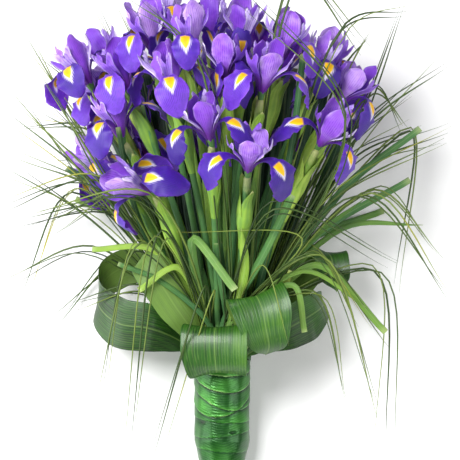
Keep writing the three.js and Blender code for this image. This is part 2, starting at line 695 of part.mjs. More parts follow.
// Stems stand two to a node, each with the nearest that is still alone
function pairStems(slots) {
  const left = slots.map((slot, i) => i).sort((a, b) => Math.hypot(...slots[b]) - Math.hypot(...slots[a]));
  const pairs = [];
  while (left.length) {
    const first = left.shift();
    const gap = (i) => Math.hypot(slots[i][0] - slots[first][0], slots[i][1] - slots[first][1]);
    const second = [...left].sort((a, b) => gap(a) - gap(b))[0];
    left.splice(left.indexOf(second), 1);
    pairs.push([first, second]);
  }
  return pairs;
}

const slots = matchSlots(flowers.map(({ at }) => [at[0] / spreadAt(at[1]), at[2] / spreadAt(at[1])]));
const pairs = pairStems(slots);
const grown = flowers.map((flower, i) => {
  const pair = pairs.findIndex((indexes) => indexes.includes(i));
  return growStem(flower, slots[i], numbered("leafy_stems", pair), numbered("iris_bloom", i));
});
const curves = grown.map(({ curve }) => curve);

keep(ribbonSolid(), "ribbon_wrap");
keep(tieSolid(), "binding_tie");
collarLeaves.forEach((leaf, i) => keep(collarLeafSolid(leaf), numbered("aspidistra_leaf", i)));
tuftAngles.forEach((degrees) => keep(tuftRoot(degrees), tuftNames.get(degrees)));
const frontFirst = flowers.map((flower, i) => i).sort((a, b) => flowers[b].at[2] - flowers[a].at[2]);
for (const petal of [styleArm, fall, standard]) {
  for (const i of frontFirst) {
    const { turn, open } = flowers[i];
    for (const degrees of [0, 120, 240]) {
      const azimuth = turn + petal.azimuth + degrees;
      placePetal(numbered("iris_bloom", i), grown[i].frame, petal, azimuth, petal === fall ? open : 1);
    }
  }
}
const flowerSolids = flowers.map((flower, i) => joined(numbered("iris_bloom", i)));
layDown = touchedSurface([...flowerSolids, ribbonSolid(flatSpot)], new THREE.Vector3(0, 200, 0));
bouquet.applyMatrix4(layDown);
cutLeaves.forEach(placeBlade);
pairs.forEach(([a, b], i) => placeSheathLeaf(numbered("leafy_stems", i), [curves[a], curves[b]], i));
grass.forEach(placeBlade);

flowers.forEach((flower, i) => {
  addMesh(numbered("iris_bloom", i), flowerSolids[i], finishes.bloom, grown[i].frame);
});
pairs.forEach((pair, i) => {
  addMesh(numbered("leafy_stems", i), joined(numbered("leafy_stems", i)), finishes.stem);
});
tuftNames.forEach((node) => addMesh(node, joined(node), finishes.grass));
collarLeaves.forEach((leaf, i) => {
  addMesh(numbered("aspidistra_leaf", i), joined(numbered("aspidistra_leaf", i)), finishes.collar);
});
addMesh("ribbon_wrap", pressedFlat(joined("ribbon_wrap")), finishes.ribbon);
addMesh("binding_tie", joined("binding_tie"), finishes.tie);

// The origin is under the middle of the bouquet, on the surface
const bounds = new THREE.Box3().setFromObject(group, true);
group.position.set(-(bounds.min.x + bounds.max.x) / 2, -(bounds.min.y + bounds.max.y) / 2, 0);

export default group;
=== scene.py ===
# A hand-tied bouquet of Dutch irises laid on its side, seen from above.
# Everything is drawn in the bouquet's own frame, in mm: x across, y along the handle to the flowers and
# z out of the side that faces the sky. toRow then lays it down on the surface, in metres.
import random
from itertools import combinations, product
from math import atan2, cos, dist, exp, hypot, pi, radians, sin
import bpy
import bmesh
from mathutils import Matrix, Vector, noise
from mathutils.bvhtree import BVHTree
from mathutils.geometry import interpolate_bezier


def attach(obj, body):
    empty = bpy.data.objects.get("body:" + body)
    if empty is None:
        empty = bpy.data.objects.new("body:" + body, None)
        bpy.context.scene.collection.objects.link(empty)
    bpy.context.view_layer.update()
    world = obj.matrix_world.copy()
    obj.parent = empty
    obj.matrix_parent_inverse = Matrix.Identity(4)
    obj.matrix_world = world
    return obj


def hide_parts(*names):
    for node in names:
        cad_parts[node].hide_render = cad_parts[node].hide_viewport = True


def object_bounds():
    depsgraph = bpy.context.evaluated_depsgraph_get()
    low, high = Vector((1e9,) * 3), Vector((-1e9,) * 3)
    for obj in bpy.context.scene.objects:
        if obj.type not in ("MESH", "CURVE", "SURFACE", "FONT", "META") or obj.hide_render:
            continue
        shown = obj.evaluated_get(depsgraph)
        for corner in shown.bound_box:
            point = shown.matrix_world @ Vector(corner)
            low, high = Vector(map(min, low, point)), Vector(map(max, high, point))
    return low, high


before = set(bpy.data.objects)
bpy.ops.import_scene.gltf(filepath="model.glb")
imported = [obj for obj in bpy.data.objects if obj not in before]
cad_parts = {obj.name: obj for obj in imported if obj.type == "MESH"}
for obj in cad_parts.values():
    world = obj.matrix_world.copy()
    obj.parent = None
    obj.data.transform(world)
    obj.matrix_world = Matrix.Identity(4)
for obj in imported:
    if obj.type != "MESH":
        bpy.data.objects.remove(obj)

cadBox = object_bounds()
room = {"ground": 0.0003, "lineGround": 0.002, "top": cadBox[1][2] + 0.005}  # heights to keep to, in metres
mending = {"weld": 0.002, "sliver": 0.001}  # in mm, what a finished mesh is cleaned of
dice = random.Random(12)

lie = {
    "skyward": Vector((-0.003, 0.1588, 0.9873)),  # the way up, as the bouquet sees it
    "place": Vector((-3.49, -225.77, 23.32)),  # of the bouquet's origin, from the middle of the surface
    "press": 0.0006,  # in metres, how near the surface a petal starts to bend along it
}
levelling = lie["skyward"].rotation_difference(Vector((0, 0, 1))).to_matrix().to_4x4()
toRow = Matrix.Scale(0.001, 4) @ Matrix.Translation(lie["place"]) @ levelling


def smooth(low, high, value):
    share = min(max((value - low) / (high - low), 0), 1)
    return share * share * (3 - 2 * share)


def blend(low, high, share):
    return low + (high - low) * share


def profile(stops, share):  # a smooth curve through [share, value] stops, level where it peaks
    steep = [(b[1] - a[1]) / (b[0] - a[0]) for a, b in zip(stops, stops[1:])]
    i = 0
    while i < len(steep) - 1 and share > stops[i + 1][0]:
        i += 1
    slopes = []
    for other in (max(i - 1, 0), min(i + 1, len(steep) - 1)):
        level = steep[i] * steep[other] <= 0
        slopes.append(0 if level else 2 * steep[i] * steep[other] / (steep[i] + steep[other]))
    (start, low), (end, high) = stops[i], stops[i + 1]
    wide = end - start
    x = (share - start) / wide
    rise = x * x * (3 - 2 * x)
    return blend(low, high, rise) + wide * (x * (1 - x) ** 2 * slopes[0] - x * x * (1 - x) * slopes[1])


def between(values, share):
    place = min(max(share, 0), 1) * (len(values) - 1)
    i = min(int(place), len(values) - 2)
    return blend(values[i], values[i + 1], place - i)


class Line:  # a smooth line as dense points, asked for by a share from 0 to 1
    def __init__(self, points):
        self.points = points
        last = len(points) - 1
        self.ways = [(points[min(i + 1, last)] - points[max(i - 1, 0)]).normalized() for i in range(last + 1)]
        self.lengths = [0.0]
        for a, b in zip(points, points[1:]):
            self.lengths.append(self.lengths[-1] + (b - a).length)

    def at(self, share):
        return between(self.points, share)

    def heading(self, share):
        return between(self.ways, share).normalized()

    def length(self, share):
        return between(self.lengths, share)


def lineThrough(knots, steps=10):  # centripetal Catmull-Rom
    knots = [Vector(knot) for knot in knots]
    ends = [2 * knots[0] - knots[1], *knots, 2 * knots[-1] - knots[-2]]
    points = []
    for p0, p1, p2, p3 in zip(ends, ends[1:], ends[2:], ends[3:]):
        d0, d1, d2 = [(b - a).length ** 0.5 for a, b in ((p0, p1), (p1, p2), (p2, p3))]
        leave = ((p1 - p0) / d0 - (p2 - p0) / (d0 + d1) + (p2 - p1) / d1) * d1
        arrive = ((p2 - p1) / d1 - (p3 - p1) / (d1 + d2) + (p3 - p2) / d2) * d1
        for step in range(steps):
            x = step / steps
            point = p1 * (2 * x ** 3 - 3 * x * x + 1) + p2 * (3 * x * x - 2 * x ** 3)
            points.append(point + leave * (x ** 3 - 2 * x * x + x) + arrive * (x ** 3 - x * x))
    return Line(points + [knots[-1]])


# What each vertex tells the finishes: its place as three shares, then mm across, mm along and a tone;
# on the ribbon the tone also holds its painted highlights and painted shade
meshLayers = {"place": ("across", "along", "over"), "measure": ("sideways", "far", "tone")}


def newMesh():
    bm = bmesh.new()
    for layer in meshLayers:
        bm.verts.layers.float_vector.new(layer)
    return bm


def gridIn(bm, columns, rows):  # a flat grid from -1 to 1, and the two layers to write on it
    layers = [bm.verts.layers.float_vector[layer] for layer in meshLayers]
    verts = bmesh.ops.create_grid(bm, x_segments=columns, y_segments=rows, size=1)["verts"]
    return verts, *layers


def roundRod(radiusAt):  # the section of a round rod, closed at both ends
    def section(across, over, along):
        radius = 0 if along in (0, 1) else radiusAt(along)
        return across * radius, 0, over * radius
    return section


# A grid rolled into a thin closed blade that follows a line. section(across, over, along) gives how far
# a point is to the side, onward and up from the line, with across and over running round the rim. crowd
# above 1 sets the rows closer together towards the tip.
def blade(bm, line, acrossAt, section, grid, tone=0.5, finish=0, crowd=1.0):
    columns, rows = grid
    verts, placeLayer, measureLayer = gridIn(bm, 2 * columns, rows)
    frames = {}
    for vert in verts:
        key = round(vert.co.y, 4)
        if key not in frames:
            along = 1 - (1 - (vert.co.y + 1) / 2) ** crowd
            onward = line.heading(along)
            way = acrossAt(along)
            side = (way - onward * way.dot(onward)).normalized()
            frames[key] = along, line.at(along), side, onward, side.cross(onward), line.length(along)
        along, centre, side, onward, face, far = frames[key]
        angle = pi * (vert.co.x + 1)
        across, over = cos(angle), sin(angle)
        sideways, ahead, up = section(across, over, along)
        vert.co = centre + side * sideways + onward * ahead + face * up
        vert[placeLayer] = (across, along, over)
        vert[measureLayer] = (sideways, far, tone)
    for face in {face for vert in verts for face in vert.link_faces}:
        face.smooth = True
        face.material_index = finish


def show(name, data):
    thing = bpy.data.objects.new(name, data)
    bpy.context.collection.objects.link(thing)
    return thing


def numbered(kind, i):  # a node's name, counted from 01
    return f"{kind}_{i + 1:02d}"


def finishPiece(bm, node, ending, finishes):
    bmesh.ops.remove_doubles(bm, verts=bm.verts, dist=mending["weld"])
    bmesh.ops.dissolve_degenerate(bm, edges=bm.edges, dist=mending["sliver"])
    bmesh.ops.recalc_face_normals(bm, faces=bm.faces)
    bm.transform(toRow)
    for vert in bm.verts:  # what would dip under the surface bends along it
        if vert.co.z < lie["press"]:
            vert.co.z = lie["press"] * exp(vert.co.z / lie["press"] - 1)
    mesh = bpy.data.meshes.new(node + ending)
    bm.to_mesh(mesh)
    bm.free()
    for finish in finishes:
        mesh.materials.append(finish)
    piece = show(node + ending, mesh)
    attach(piece, "root")
    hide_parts(node)


# What stands in the way of the next petal or leaf
placed = []


def shadow(blades):  # a coarse copy of some blades, to test for crossings
    bm = newMesh()
    for shape in blades:
        blade(bm, *shape)
    low, high = [[end(vert.co[i] for vert in bm.verts) for i in range(3)] for end in (min, max)]
    tree = BVHTree.FromBMesh(bm)
    heights = [(toRow @ vert.co).z for vert in bm.verts]
    bm.free()
    return {"tree": tree, "low": low, "high": high, "ground": min(heights), "top": max(heights)}


def crossings(shape, node):  # how many shapes of other nodes it meets, or None where it leaves the room
    if shape["ground"] < room["ground"] or shape["top"] > room["top"]:
        return None
    met = 0
    for other in placed:
        spans = zip(shape["low"], shape["high"], other["low"], other["high"])
        apart = any(low > otherHigh or otherLow > high for low, high, otherLow, otherHigh in spans)
        if other["node"] != node and not apart:
            met += bool(other["tree"].overlap(shape["tree"]))
    return met


def keep(shape, node):
    placed.append({**shape, "node": node})


# Finishes
def paint(red, green, blue):  # a colour as the eye gives it, 0 to 255
    return [((c / 255 + 0.055) / 1.055) ** 2.4 if c > 10 else c / 3294.6 for c in (red, green, blue)] + [1]


class Wire:  # a node's output that takes part in Python maths
    def __init__(self, finish, socket):
        self.finish = finish
        self.socket = socket

    def math(self, operation, *values):
        return self.finish.node("Math", {"operation": operation}, dict(enumerate(values)))

    def __add__(self, other):
        return self.math("ADD", self, other)

    def __sub__(self, other):
        return self.math("SUBTRACT", self, other)

    def __rsub__(self, other):
        return self.math("SUBTRACT", other, self)

    def __mul__(self, other):
        return self.math("MULTIPLY", self, other)

    def __truediv__(self, other):
        return self.math("DIVIDE", self, other)

    def __pow__(self, other):
        return self.math("POWER", self, other)

    def __abs__(self):
        return self.math("ABSOLUTE", self)

    def sine(self):
        return self.math("SINE", self)

    def step(self, low, high):  # rises smoothly from 0 to 1 between low and high
        limits = {"Value": self, "From Min": low, "From Max": high}
        return self.finish.node("MapRange", {"interpolation_type": "SMOOTHSTEP"}, limits)

    __radd__ = __add__
    __rmul__ = __mul__


class Finish:
    def __init__(self, name, **fixed):
        self.material = bpy.data.materials.new(name)
        self.material.use_nodes = True
        self.tree = self.material.node_tree
        self.shader = self.tree.nodes["Principled BSDF"]
        self.finish(**fixed)
        self.object = self.node("TexCoord", {}, {}, "Object")

    def node(self, kind, settings, inputs, output=0):
        made = self.tree.nodes.new("ShaderNode" + kind)
        for key, value in settings.items():
            if key == "stops":
                ramp = made.color_ramp
                for i, (place, colour) in enumerate(value):
                    stop = ramp.elements[i] if i < 2 else ramp.elements.new(place)
                    stop.position = place
                    stop.color = paint(*colour)
            else:
                setattr(made, key, value)
        for key, value in inputs.items():
            self.feed(made.inputs[key], value)
        return Wire(self, made.outputs[output])

    def feed(self, socket, value):  # a tuple is a colour as the eye gives it
        if isinstance(value, Wire):
            self.tree.links.new(value.socket, socket)
        else:
            socket.default_value = paint(*value) if isinstance(value, tuple) else value

    def surface(self, names):  # what the vertices say, by the names in meshLayers
        told = {}
        for layer, parts in meshLayers.items():
            vector = self.node("Attribute", {"attribute_name": layer}, {}, "Vector")
            for axis, part in zip("XYZ", parts):
                told[part] = self.node("SeparateXYZ", {}, {"Vector": vector}, axis)
        return [told[name] for name in names.split()]

    def noise(self, scale, detail, vector=None):
        return self.node("TexNoise", {}, {"Vector": vector or self.object, "Scale": scale, "Detail": detail})

    def mix(self, factor, first, second, how="MIX"):
        settings = {"data_type": "RGBA", "blend_type": how, "clamp_factor": True}
        return self.node("Mix", settings, {0: factor, 6: first, 7: second}, 2)

    def ramp(self, shade, stops):
        return self.node("ValToRGB", {"stops": stops}, {"Fac": shade}, "Color")

    def bump(self, height, distance, strength):
        relief = {"Height": height, "Distance": distance, "Strength": strength}
        self.feed(self.shader.inputs["Normal"], self.node("Bump", {}, relief, "Normal"))

    def finish(self, **fed):
        for socketName, value in fed.items():
            self.feed(self.shader.inputs[socketName.replace("_", " ")], value)
        return self.material


petalLooks = {
    "fall": {
        "throat": (92, 22, 148), "body": (68, 14, 162), "deep": (36, 6, 114), "pale": (122, 64, 212),
        "veins": 30,
    },
    "standard": {
        "throat": (106, 24, 156), "body": (142, 78, 214), "deep": (90, 32, 172), "pale": (214, 180, 247),
        "veins": 18,
    },
    "styleArm": {
        "throat": (126, 40, 174), "body": (158, 114, 228), "deep": (110, 50, 190), "pale": (234, 222, 252),
        "veins": 9,
    },
}
# The yellow patch of a fall, in mm, and the white halo round it
signal = {
    "start": 45, "length": 11, "half": 4.6, "yellow": (248, 200, 0), "orange": (238, 156, 0),
    "haloSlope": 0.8, "haloWide": 1.25, "spike": 2.8, "white": (232, 224, 250),
}


def petalFinish(kind):
    look = petalLooks[kind]
    finish = Finish("iris_" + kind.lower(), Sheen_Weight=0.04, Sheen_Roughness=0.4, Subsurface_Weight=0.08,
                    Subsurface_Radius=[0.003, 0.0015, 0.005], Subsurface_Scale=1.0)
    across, along, sideways, far, tone = finish.surface("across along sideways far tone")
    cloudy = finish.noise(120, 3)
    rim = abs(across)
    pale = (rim + cloudy * 0.3).step(0.85, 1.2) * 0.5 + (tone + cloudy * 0.9).step(0.8, 1.4) * 0.6
    colour = finish.mix(pale, look["body"], look["pale"])
    ribs = (across * (look["veins"] * (1.4 + 0.6 * along)) + cloudy * 4).sine()
    veins = ribs.step(0.1, 1) * (1 - rim * 0.6) * finish.noise(260, 2).step(0.25, 0.6)
    colour = finish.mix(veins * 0.75, colour, look["deep"])
    shaded = (tone * -1.0 + cloudy * 0.6).step(-0.25, 0.3)
    colour = finish.mix(shaded * 0.75, colour, look["deep"])
    colour = finish.mix(1 - along.step(0.12, 0.46), colour, look["throat"])
    if kind == "fall":
        onward = (far - signal["start"]) / signal["length"]
        size = 1 + (tone * 50).sine() * 0.18
        drop = abs(sideways) / (size * signal["half"]) + onward * abs(onward) + (cloudy - 0.5) * 0.4
        inside = onward.step(-0.45, -0.2)
        further = onward * signal["haloSlope"]
        reach = abs(sideways) / (size * signal["half"] * signal["haloWide"]) + further * abs(further)
        spike = (1 - abs(sideways).step(0.2, signal["spike"])) * 0.25
        rays = (sideways * 4 + cloudy * 9).sine().step(-0.8, 1.0) * 0.3
        halo = onward.step(-0.3, 0.35) * (1 - (reach - rays - spike).step(0.45, 1.05))
        colour = finish.mix(halo * 0.88, colour, signal["white"])
        colour = finish.mix(inside * (1 - drop.step(0.7, 1.02)), colour, signal["yellow"])
        colour = finish.mix(inside * (1 - drop.step(0.1, 0.85)) * 0.6, colour, signal["orange"])
    finish.bump(veins * -0.6 + cloudy * 0.5, 0.0003, 0.6)
    return finish.finish(Base_Color=colour, Roughness=0.42 + cloudy * 0.2)


greenLook = {
    "ramp": [(0.0, (18, 44, 26)), (0.25, (40, 84, 46)), (0.5, (76, 124, 66)), (0.75, (134, 174, 62)),
             (0.92, (170, 200, 84)), (1.0, (196, 214, 116))],
    "leafRibs": 21.7, "stemRibs": 16, "midrib": (170, 196, 128), "bluish": (196, 222, 240),
    "tip": (200, 210, 150), "papery": (206, 196, 140),
}
greenSkin = {"Specular_IOR_Level": 0.4, "Subsurface_Weight": 0.05, "Subsurface_Radius": [0.002, 0.004, 0.001]}


def leafFinish():
    finish = Finish("cut_leaf", **greenSkin)
    across, along, tone = finish.surface("across along tone")
    cloudy = finish.noise(60, 3)
    streak = (across * greenLook["leafRibs"] + cloudy * 1.6).sine()
    shade = tone + (cloudy - 0.5) * 0.22 + streak * 0.035 + along.step(0.35, 1.0) * 0.06
    colour = finish.ramp(shade, greenLook["ramp"])
    midrib = 1 - abs(across).step(0.02, 0.16)
    colour = finish.mix(midrib * 0.25, colour, greenLook["midrib"])
    blue = (tone * 90).sine().step(-0.3, 0.5) * 0.7
    colour = finish.mix(blue, colour, greenLook["bluish"], "MULTIPLY")
    colour = finish.mix(along.step(0.975, 1.0) * 0.4, colour, greenLook["tip"])
    finish.bump(streak * 0.5 + cloudy * 0.3, 0.0004, 0.7)
    return finish.finish(Base_Color=colour, Roughness=0.36 + cloudy * 0.2)


def stemFinish():
    finish = Finish("flower_stem", **greenSkin)
    across, along, tone = finish.surface("across along tone")
    cloudy = finish.noise(80, 3)
    streak = (across * greenLook["stemRibs"] + cloudy * 2.0).sine()
    shade = tone + (cloudy - 0.5) * 0.3 + streak * 0.04
    colour = finish.ramp(shade, greenLook["ramp"])
    papery = (along + (cloudy - 0.5) * 0.1).step(0.93, 1.0) * 0.6
    colour = finish.mix(papery, colour, greenLook["papery"])
    finish.bump(streak * 0.4 + cloudy * 0.3, 0.0003, 0.7)
    return finish.finish(Base_Color=colour, Roughness=0.4 + cloudy * 0.2)


grassRamp = [(0.0, (30, 52, 14)), (0.45, (66, 92, 30)), (0.75, (120, 140, 56)), (1.0, (214, 196, 40))]


def grassFinish():
    finish = Finish("bear_grass", Specular_IOR_Level=0.45)
    along, tone = finish.surface("along tone")
    patchy = finish.noise(30, 2)
    shade = tone + (patchy - 0.5) * 0.3 + along.step(0.6, 1.0) * 0.12
    colour = finish.ramp(shade, grassRamp)
    return finish.finish(Base_Color=colour, Roughness=0.42 + patchy * 0.15)


collarLook = {
    "deep": (12, 44, 8), "body": (38, 92, 12), "fresh": (98, 140, 16), "vein": (150, 184, 96),
    "under": (118, 150, 64),
}


def collarFinish(name, underside):  # underside says which of the blade's two faces is the dull one
    finish = Finish(name, Specular_IOR_Level=0.5, Coat_Roughness=0.18)
    across, over, sideways, far, tone = finish.surface("across over sideways far tone")
    cloudy = finish.noise(22, 3)
    streaky = finish.node("CombineXYZ", {}, {"X": sideways * 0.42, "Y": far * 0.016})
    streak = finish.noise(1.0, 4, streaky)
    fine = (across * 70 + streak * 9).sine()
    shade = cloudy * 0.7 + tone * 0.7 - 0.3 + (streak - 0.5) * 0.8
    colour = finish.mix(shade.step(0.05, 0.6), collarLook["deep"], collarLook["body"])
    colour = finish.mix(shade.step(0.45, 1.0), colour, collarLook["fresh"])
    colour = finish.mix(fine.step(0.5, 1.0) * 0.12, colour, collarLook["vein"])
    midrib = 1 - abs(sideways).step(0.2, 0.9)
    colour = finish.mix(midrib * 0.3, colour, collarLook["vein"])
    dull = (over * underside).step(0.0, 0.3)
    colour = finish.mix(dull * 0.6, colour, collarLook["under"])
    finish.bump(fine * 0.12 + streak * 1.6 + cloudy * 0.4, 0.0005, 0.6)
    rough = 0.4 + cloudy * 0.14 + dull * 0.1
    return finish.finish(Base_Color=colour, Roughness=rough, Coat_Weight=0.16 - dull * 0.14)


satinRamp = [(0.0, (0, 26, 4)), (0.35, (12, 74, 16)), (0.62, (60, 136, 40)), (1.0, (190, 220, 146))]


def ribbonFinish():
    finish = Finish("emerald_satin", Specular_IOR_Level=0.7, Sheen_Weight=0.1, Sheen_Roughness=0.3)
    sideways, far, tone = finish.surface("sideways far tone")
    cloudy = finish.noise(50, 2)
    slant = (sideways * sideways + 60) ** 0.5  # the threads run down to both sides of the front
    thread = ((far - slant * 0.4) * 2.6 + cloudy * 6).sine()
    # tone brings the ribbon's painted highlights and painted shade into the colour
    shade = tone + (cloudy - 0.5) * 0.45 + thread * 0.03
    colour = finish.ramp(shade, satinRamp)
    finish.bump(thread * 0.16 + cloudy * 0.8, 0.0003, 0.6)
    return finish.finish(Base_Color=colour, Roughness=0.28 + cloudy * 0.1, Metallic=0.45 + cloudy * 0.1)


def twineFinish():
    finish = Finish("jute_twine", Sheen_Weight=0.3)
    fibre = finish.noise(900, 4)
    colour = finish.mix(fibre, (140, 112, 64), (202, 178, 122))
    finish.bump(fibre, 0.0003, 0.8)
    return finish.finish(Base_Color=colour, Roughness=0.7 + fibre * 0.2)


petalFinishes = [petalFinish(kind) for kind in petalLooks]
leaf = leafFinish()
stemSkin = stemFinish()
grassSkin = grassFinish()
collarSkins = {1: collarFinish("aspidistra_blade", 1), -1: collarFinish("aspidistra_turned", -1)}
satin = ribbonFinish()
twine = twineFinish()
print("finishes made")

# Stems
handle = {
    "slotSpacing": 7.2, "foot": 10, "ring": 23.6,
    "flareFrom": 104, "headTop": 420, "even": 0.28,  # where the stems spread, and the even share of it
}
stem = {
    "cut": [(0, 2.6), (1.5, 3.1)],  # mm up from the cut foot, radius
    "neck": [(66, 3.1), (40, 3.6), (14, 3.8), (0, 3.4)],  # mm down from the flower, radius
    "tones": (0.4, 0.72), "steps": 48, "grid": (6, 60), "coarse": (3, 12),
}
valve = {  # one of the two green valves round the foot of a flower
    "length": 72, "tips": (3, 12),  # mm down from the flower
    "side": 75, "thick": 0.7, "outer": 0.3,  # turned from the first fall, mm thick, mm the second lies over
    "girth": [[0, 3.3], [0.2, 4.6], [0.5, 7.4], [0.8, 6.0], [1, 6.4]],
    "wrap": [[0, 2.4], [0.3, 2.3], [0.6, 1.9], [0.85, 0.9], [1, 0.0]],
    "lighter": (0.08, 0.3), "grid": (8, 22), "coarse": (3, 6),
}

# Each flower: where its petals meet, which way a fall faces from the sky side, how wide it opens, how it
# leans to the side and how it nods to the sky. Angles are in degrees, here and below.
flowers = [
    ((-130, 372, 5), -20, 0.9), ((-106, 386, -34), 30, 0.8), ((-90, 364, 50), -25, 0.85),
    ((-97, 318, 56), 90, 0.95, 12), ((-104, 282, 6), -11, 0.9, -20), ((-66, 266, 70), -100, 1, -42, 6),
    ((-46, 358, 96), 0, 1, 0, -8), ((-52, 424, -16), 15, 0.8), ((-66, 402, 42), -35, 0.85),
    ((-30, 396, 82), -5, 0.9, 0, -6), ((-8, 410, 14), 40, 0.8), ((20, 404, 52), 20, 0.8),
    ((4, 370, 84), -75, 0.9), ((38, 360, 92), 80, 0.95), ((92, 376, 36), 12, 0.9), ((56, 392, 62), 60, 0.8),
    ((110, 350, 36), 62, 1, 6), ((114, 342, -24), 35, 0.9), ((94, 311, 66), 180, 1, 0, 24),
    ((25, 284, 113), 58, 1, 0, 2), ((-10, 314, 100), -62, 1, -12), ((-11, 344, 54), 10, 0.8),
    ((-72, 300, -36), 165, 0.8), ((-18, 298, -33), 200, 0.75), ((76, 304, -43), 60, 0.8),
    ((-111, 346, -40), 200, 0.85), ((-45, 358, -43), 150, 0.75), ((40, 362, -44), 190, 0.75),
    ((10, 392, -50), 170, 0.8), ((62, 388, -40), 220, 0.8),
]
flowers = [dict(zip(("at", "turn", "open", "lean", "nod"), row)) for row in flowers]


def spreadAt(height):
    share = max(0, (height - handle["flareFrom"]) / (handle["headTop"] - handle["flareFrom"]))
    return handle["even"] * share + (1 - handle["even"]) * share ** 1.6


def stemSlots(count):
    gap = handle["slotSpacing"]
    lanes = range(-4, 5)
    slots = [((column + row / 2) * gap, row * gap * 0.75 ** 0.5) for row, column in product(lanes, lanes)]
    return sorted(slots, key=lambda slot: round(hypot(*slot), 9))[:count]


def matchSlots(goals):  # swaps slots until every pair spreads in the order in which it stands
    slots = stemSlots(len(goals))
    swapped = True
    while swapped:
        swapped = False
        for i, j in combinations(range(len(goals)), 2):
            order = sum((slots[i][k] - slots[j][k]) * (goals[i][k] - goals[j][k]) for k in (0, 1))
            if order < 0:
                slots[i], slots[j] = slots[j], slots[i]
                swapped = True
    return slots


def pairStems(slots):
    left = sorted(range(len(slots)), key=lambda i: -round(hypot(*slots[i]), 9))
    pairs = []
    while left:
        first = left.pop(0)
        second = min(left, key=lambda i: round(dist(slots[i], slots[first]), 9))
        left.remove(second)
        pairs.append((first, second))
    return pairs


def stemLine(slot, at):
    goal = [(at[0] - slot[0]) / spreadAt(at[1]), (at[2] - slot[1]) / spreadAt(at[1])]
    points = []
    for i in range(stem["steps"] + 1):
        height = blend(handle["foot"], at[1], i / stem["steps"])
        spread = spreadAt(height)
        points.append(Vector((slot[0] + goal[0] * spread, height, slot[1] + goal[1] * spread)))
    return Line(points)


goals = [[flower["at"][k] / spreadAt(flower["at"][1]) for k in (0, 2)] for flower in flowers]
slots = matchSlots(goals)
pairs = pairStems(slots)
stemLines = [stemLine(slot, flower["at"]) for slot, flower in zip(slots, flowers)]
stemOwner = {i: numbered("leafy_stems", n) for n, pair in enumerate(pairs) for i in pair}


def stemBlade(i, grid):
    total = flowers[i]["at"][1] - handle["foot"]
    girth = [[up / total, radius] for up, radius in stem["cut"]]
    girth += [[1 - down / total, radius] for down, radius in stem["neck"]]
    section = roundRod(lambda along: profile(girth, along))
    return stemLines[i], lambda along: Vector((1, 0, 0)), section, grid


def valveBlade(i, number, grid):
    total = flowers[i]["at"][1] - handle["foot"]
    start = 1 - valve["length"] / total
    end = 1 - valve["tips"][number] / total
    around = radians(flowers[i]["turn"] + valve["side"] + 180 * number)
    way = Vector((cos(around), 0, sin(around)))
    line = Line([stemLines[i].at(blend(start, end, k / 20)) for k in range(21)])
    girth = [list(stop) for stop in valve["girth"]]
    girth[2][1] += valve["outer"] * number

    def section(across, over, along):
        angle = across * profile(valve["wrap"], along)
        skin = valve["thick"] / 2 * over * (1 - along ** 6)
        radius = profile(girth, along) + skin + 2.5 * smooth(0.75, 1, along)
        return radius * sin(angle), 0, radius * cos(angle)
    return line, lambda along: way, section, grid


print("stems routed")

# Petals. The arch is four Bezier points of [out from the axis, up], the outline [share, half width]. strays
# is how far the tip is drawn off, and the bloom's foot reaches as far to both sides of where petals meet.
petals = {
    "styleArm": {
        "azimuth": 0, "thick": 0.5, "strays": 2, "twist": 6, "fork": 9, "grid": (6, 16),
        "arch": [[1.4, 2], [6, 26], [19, 34], [27, 44]],
        "outline": [[0, 0], [0.1, 2.2], [0.5, 5], [0.75, 6.6], [0.92, 8.4], [1, 6.5]],
    },
    "fall": {
        "azimuth": 0, "thick": 0.55, "strays": 5, "twist": 12, "fork": 0, "grid": (8, 24),
        "arch": [[3, 1], [12, 35], [49, 41], [46, -9]],
        "outline": [[0, 0], [0.05, 2.4], [0.28, 3.8], [0.46, 5.2], [0.56, 9], [0.66, 13.8], [0.76, 16.2],
                    [0.86, 14.8], [0.93, 10.8], [0.98, 5.2], [1, 0]],
    },
    "standard": {
        "azimuth": 60, "thick": 0.5, "strays": 5, "twist": 24, "fork": 0, "grid": (7, 20),
        "arch": [[2.6, 1], [8, 18], [18, 36], [10, 54]],
        "outline": [[0, 0], [0.08, 2.4], [0.34, 5], [0.52, 9.2], [0.68, 12], [0.82, 11.4], [0.93, 7.6],
                    [0.98, 3.6], [1, 0]],
    },
}
bloom = {
    "archSteps": 40, "crowd": 1.3, "coarse": (2, 8),
    "foot": 6, "girth": [[0, 2.2], [0.3, 2.8], [1, 4.4]], "footGrid": (6, 8),
}

# What a petal tries in turn until it is clear of its neighbours: reach, dip in mm and swing in degrees
petalBends = [
    (1, 0, 0), (0.9, 4, 0), (1, 0, 12), (1, 0, -12), (0.8, 6, 0), (0.8, 6, 16), (0.8, 6, -16),
    (0.68, 8, 0), (0.68, 8, 22), (0.68, 8, -22), (0.55, 8, 0), (0.55, 6, 26), (0.55, 6, -26),
    (0.42, 4, 0), (0.42, 4, 24), (0.42, 4, -24), (0.3, 0, 0), (0.3, 0, 25), (0.3, 0, -25),
]


def flowerFrame(line, flower):
    axis = line.heading(1)
    axis.rotate(Matrix.Rotation(radians(-flower.get("lean", 0)), 3, "Z"))
    axis.rotate(Matrix.Rotation(radians(flower.get("nod", 0)), 3, "X"))
    sky = Vector((0, 0, 1))
    sky = (sky - axis * sky.dot(axis)).normalized()
    right = axis.cross(sky)
    return Matrix.Translation(line.at(1)) @ Matrix((sky, right, axis)).transposed().to_4x4()


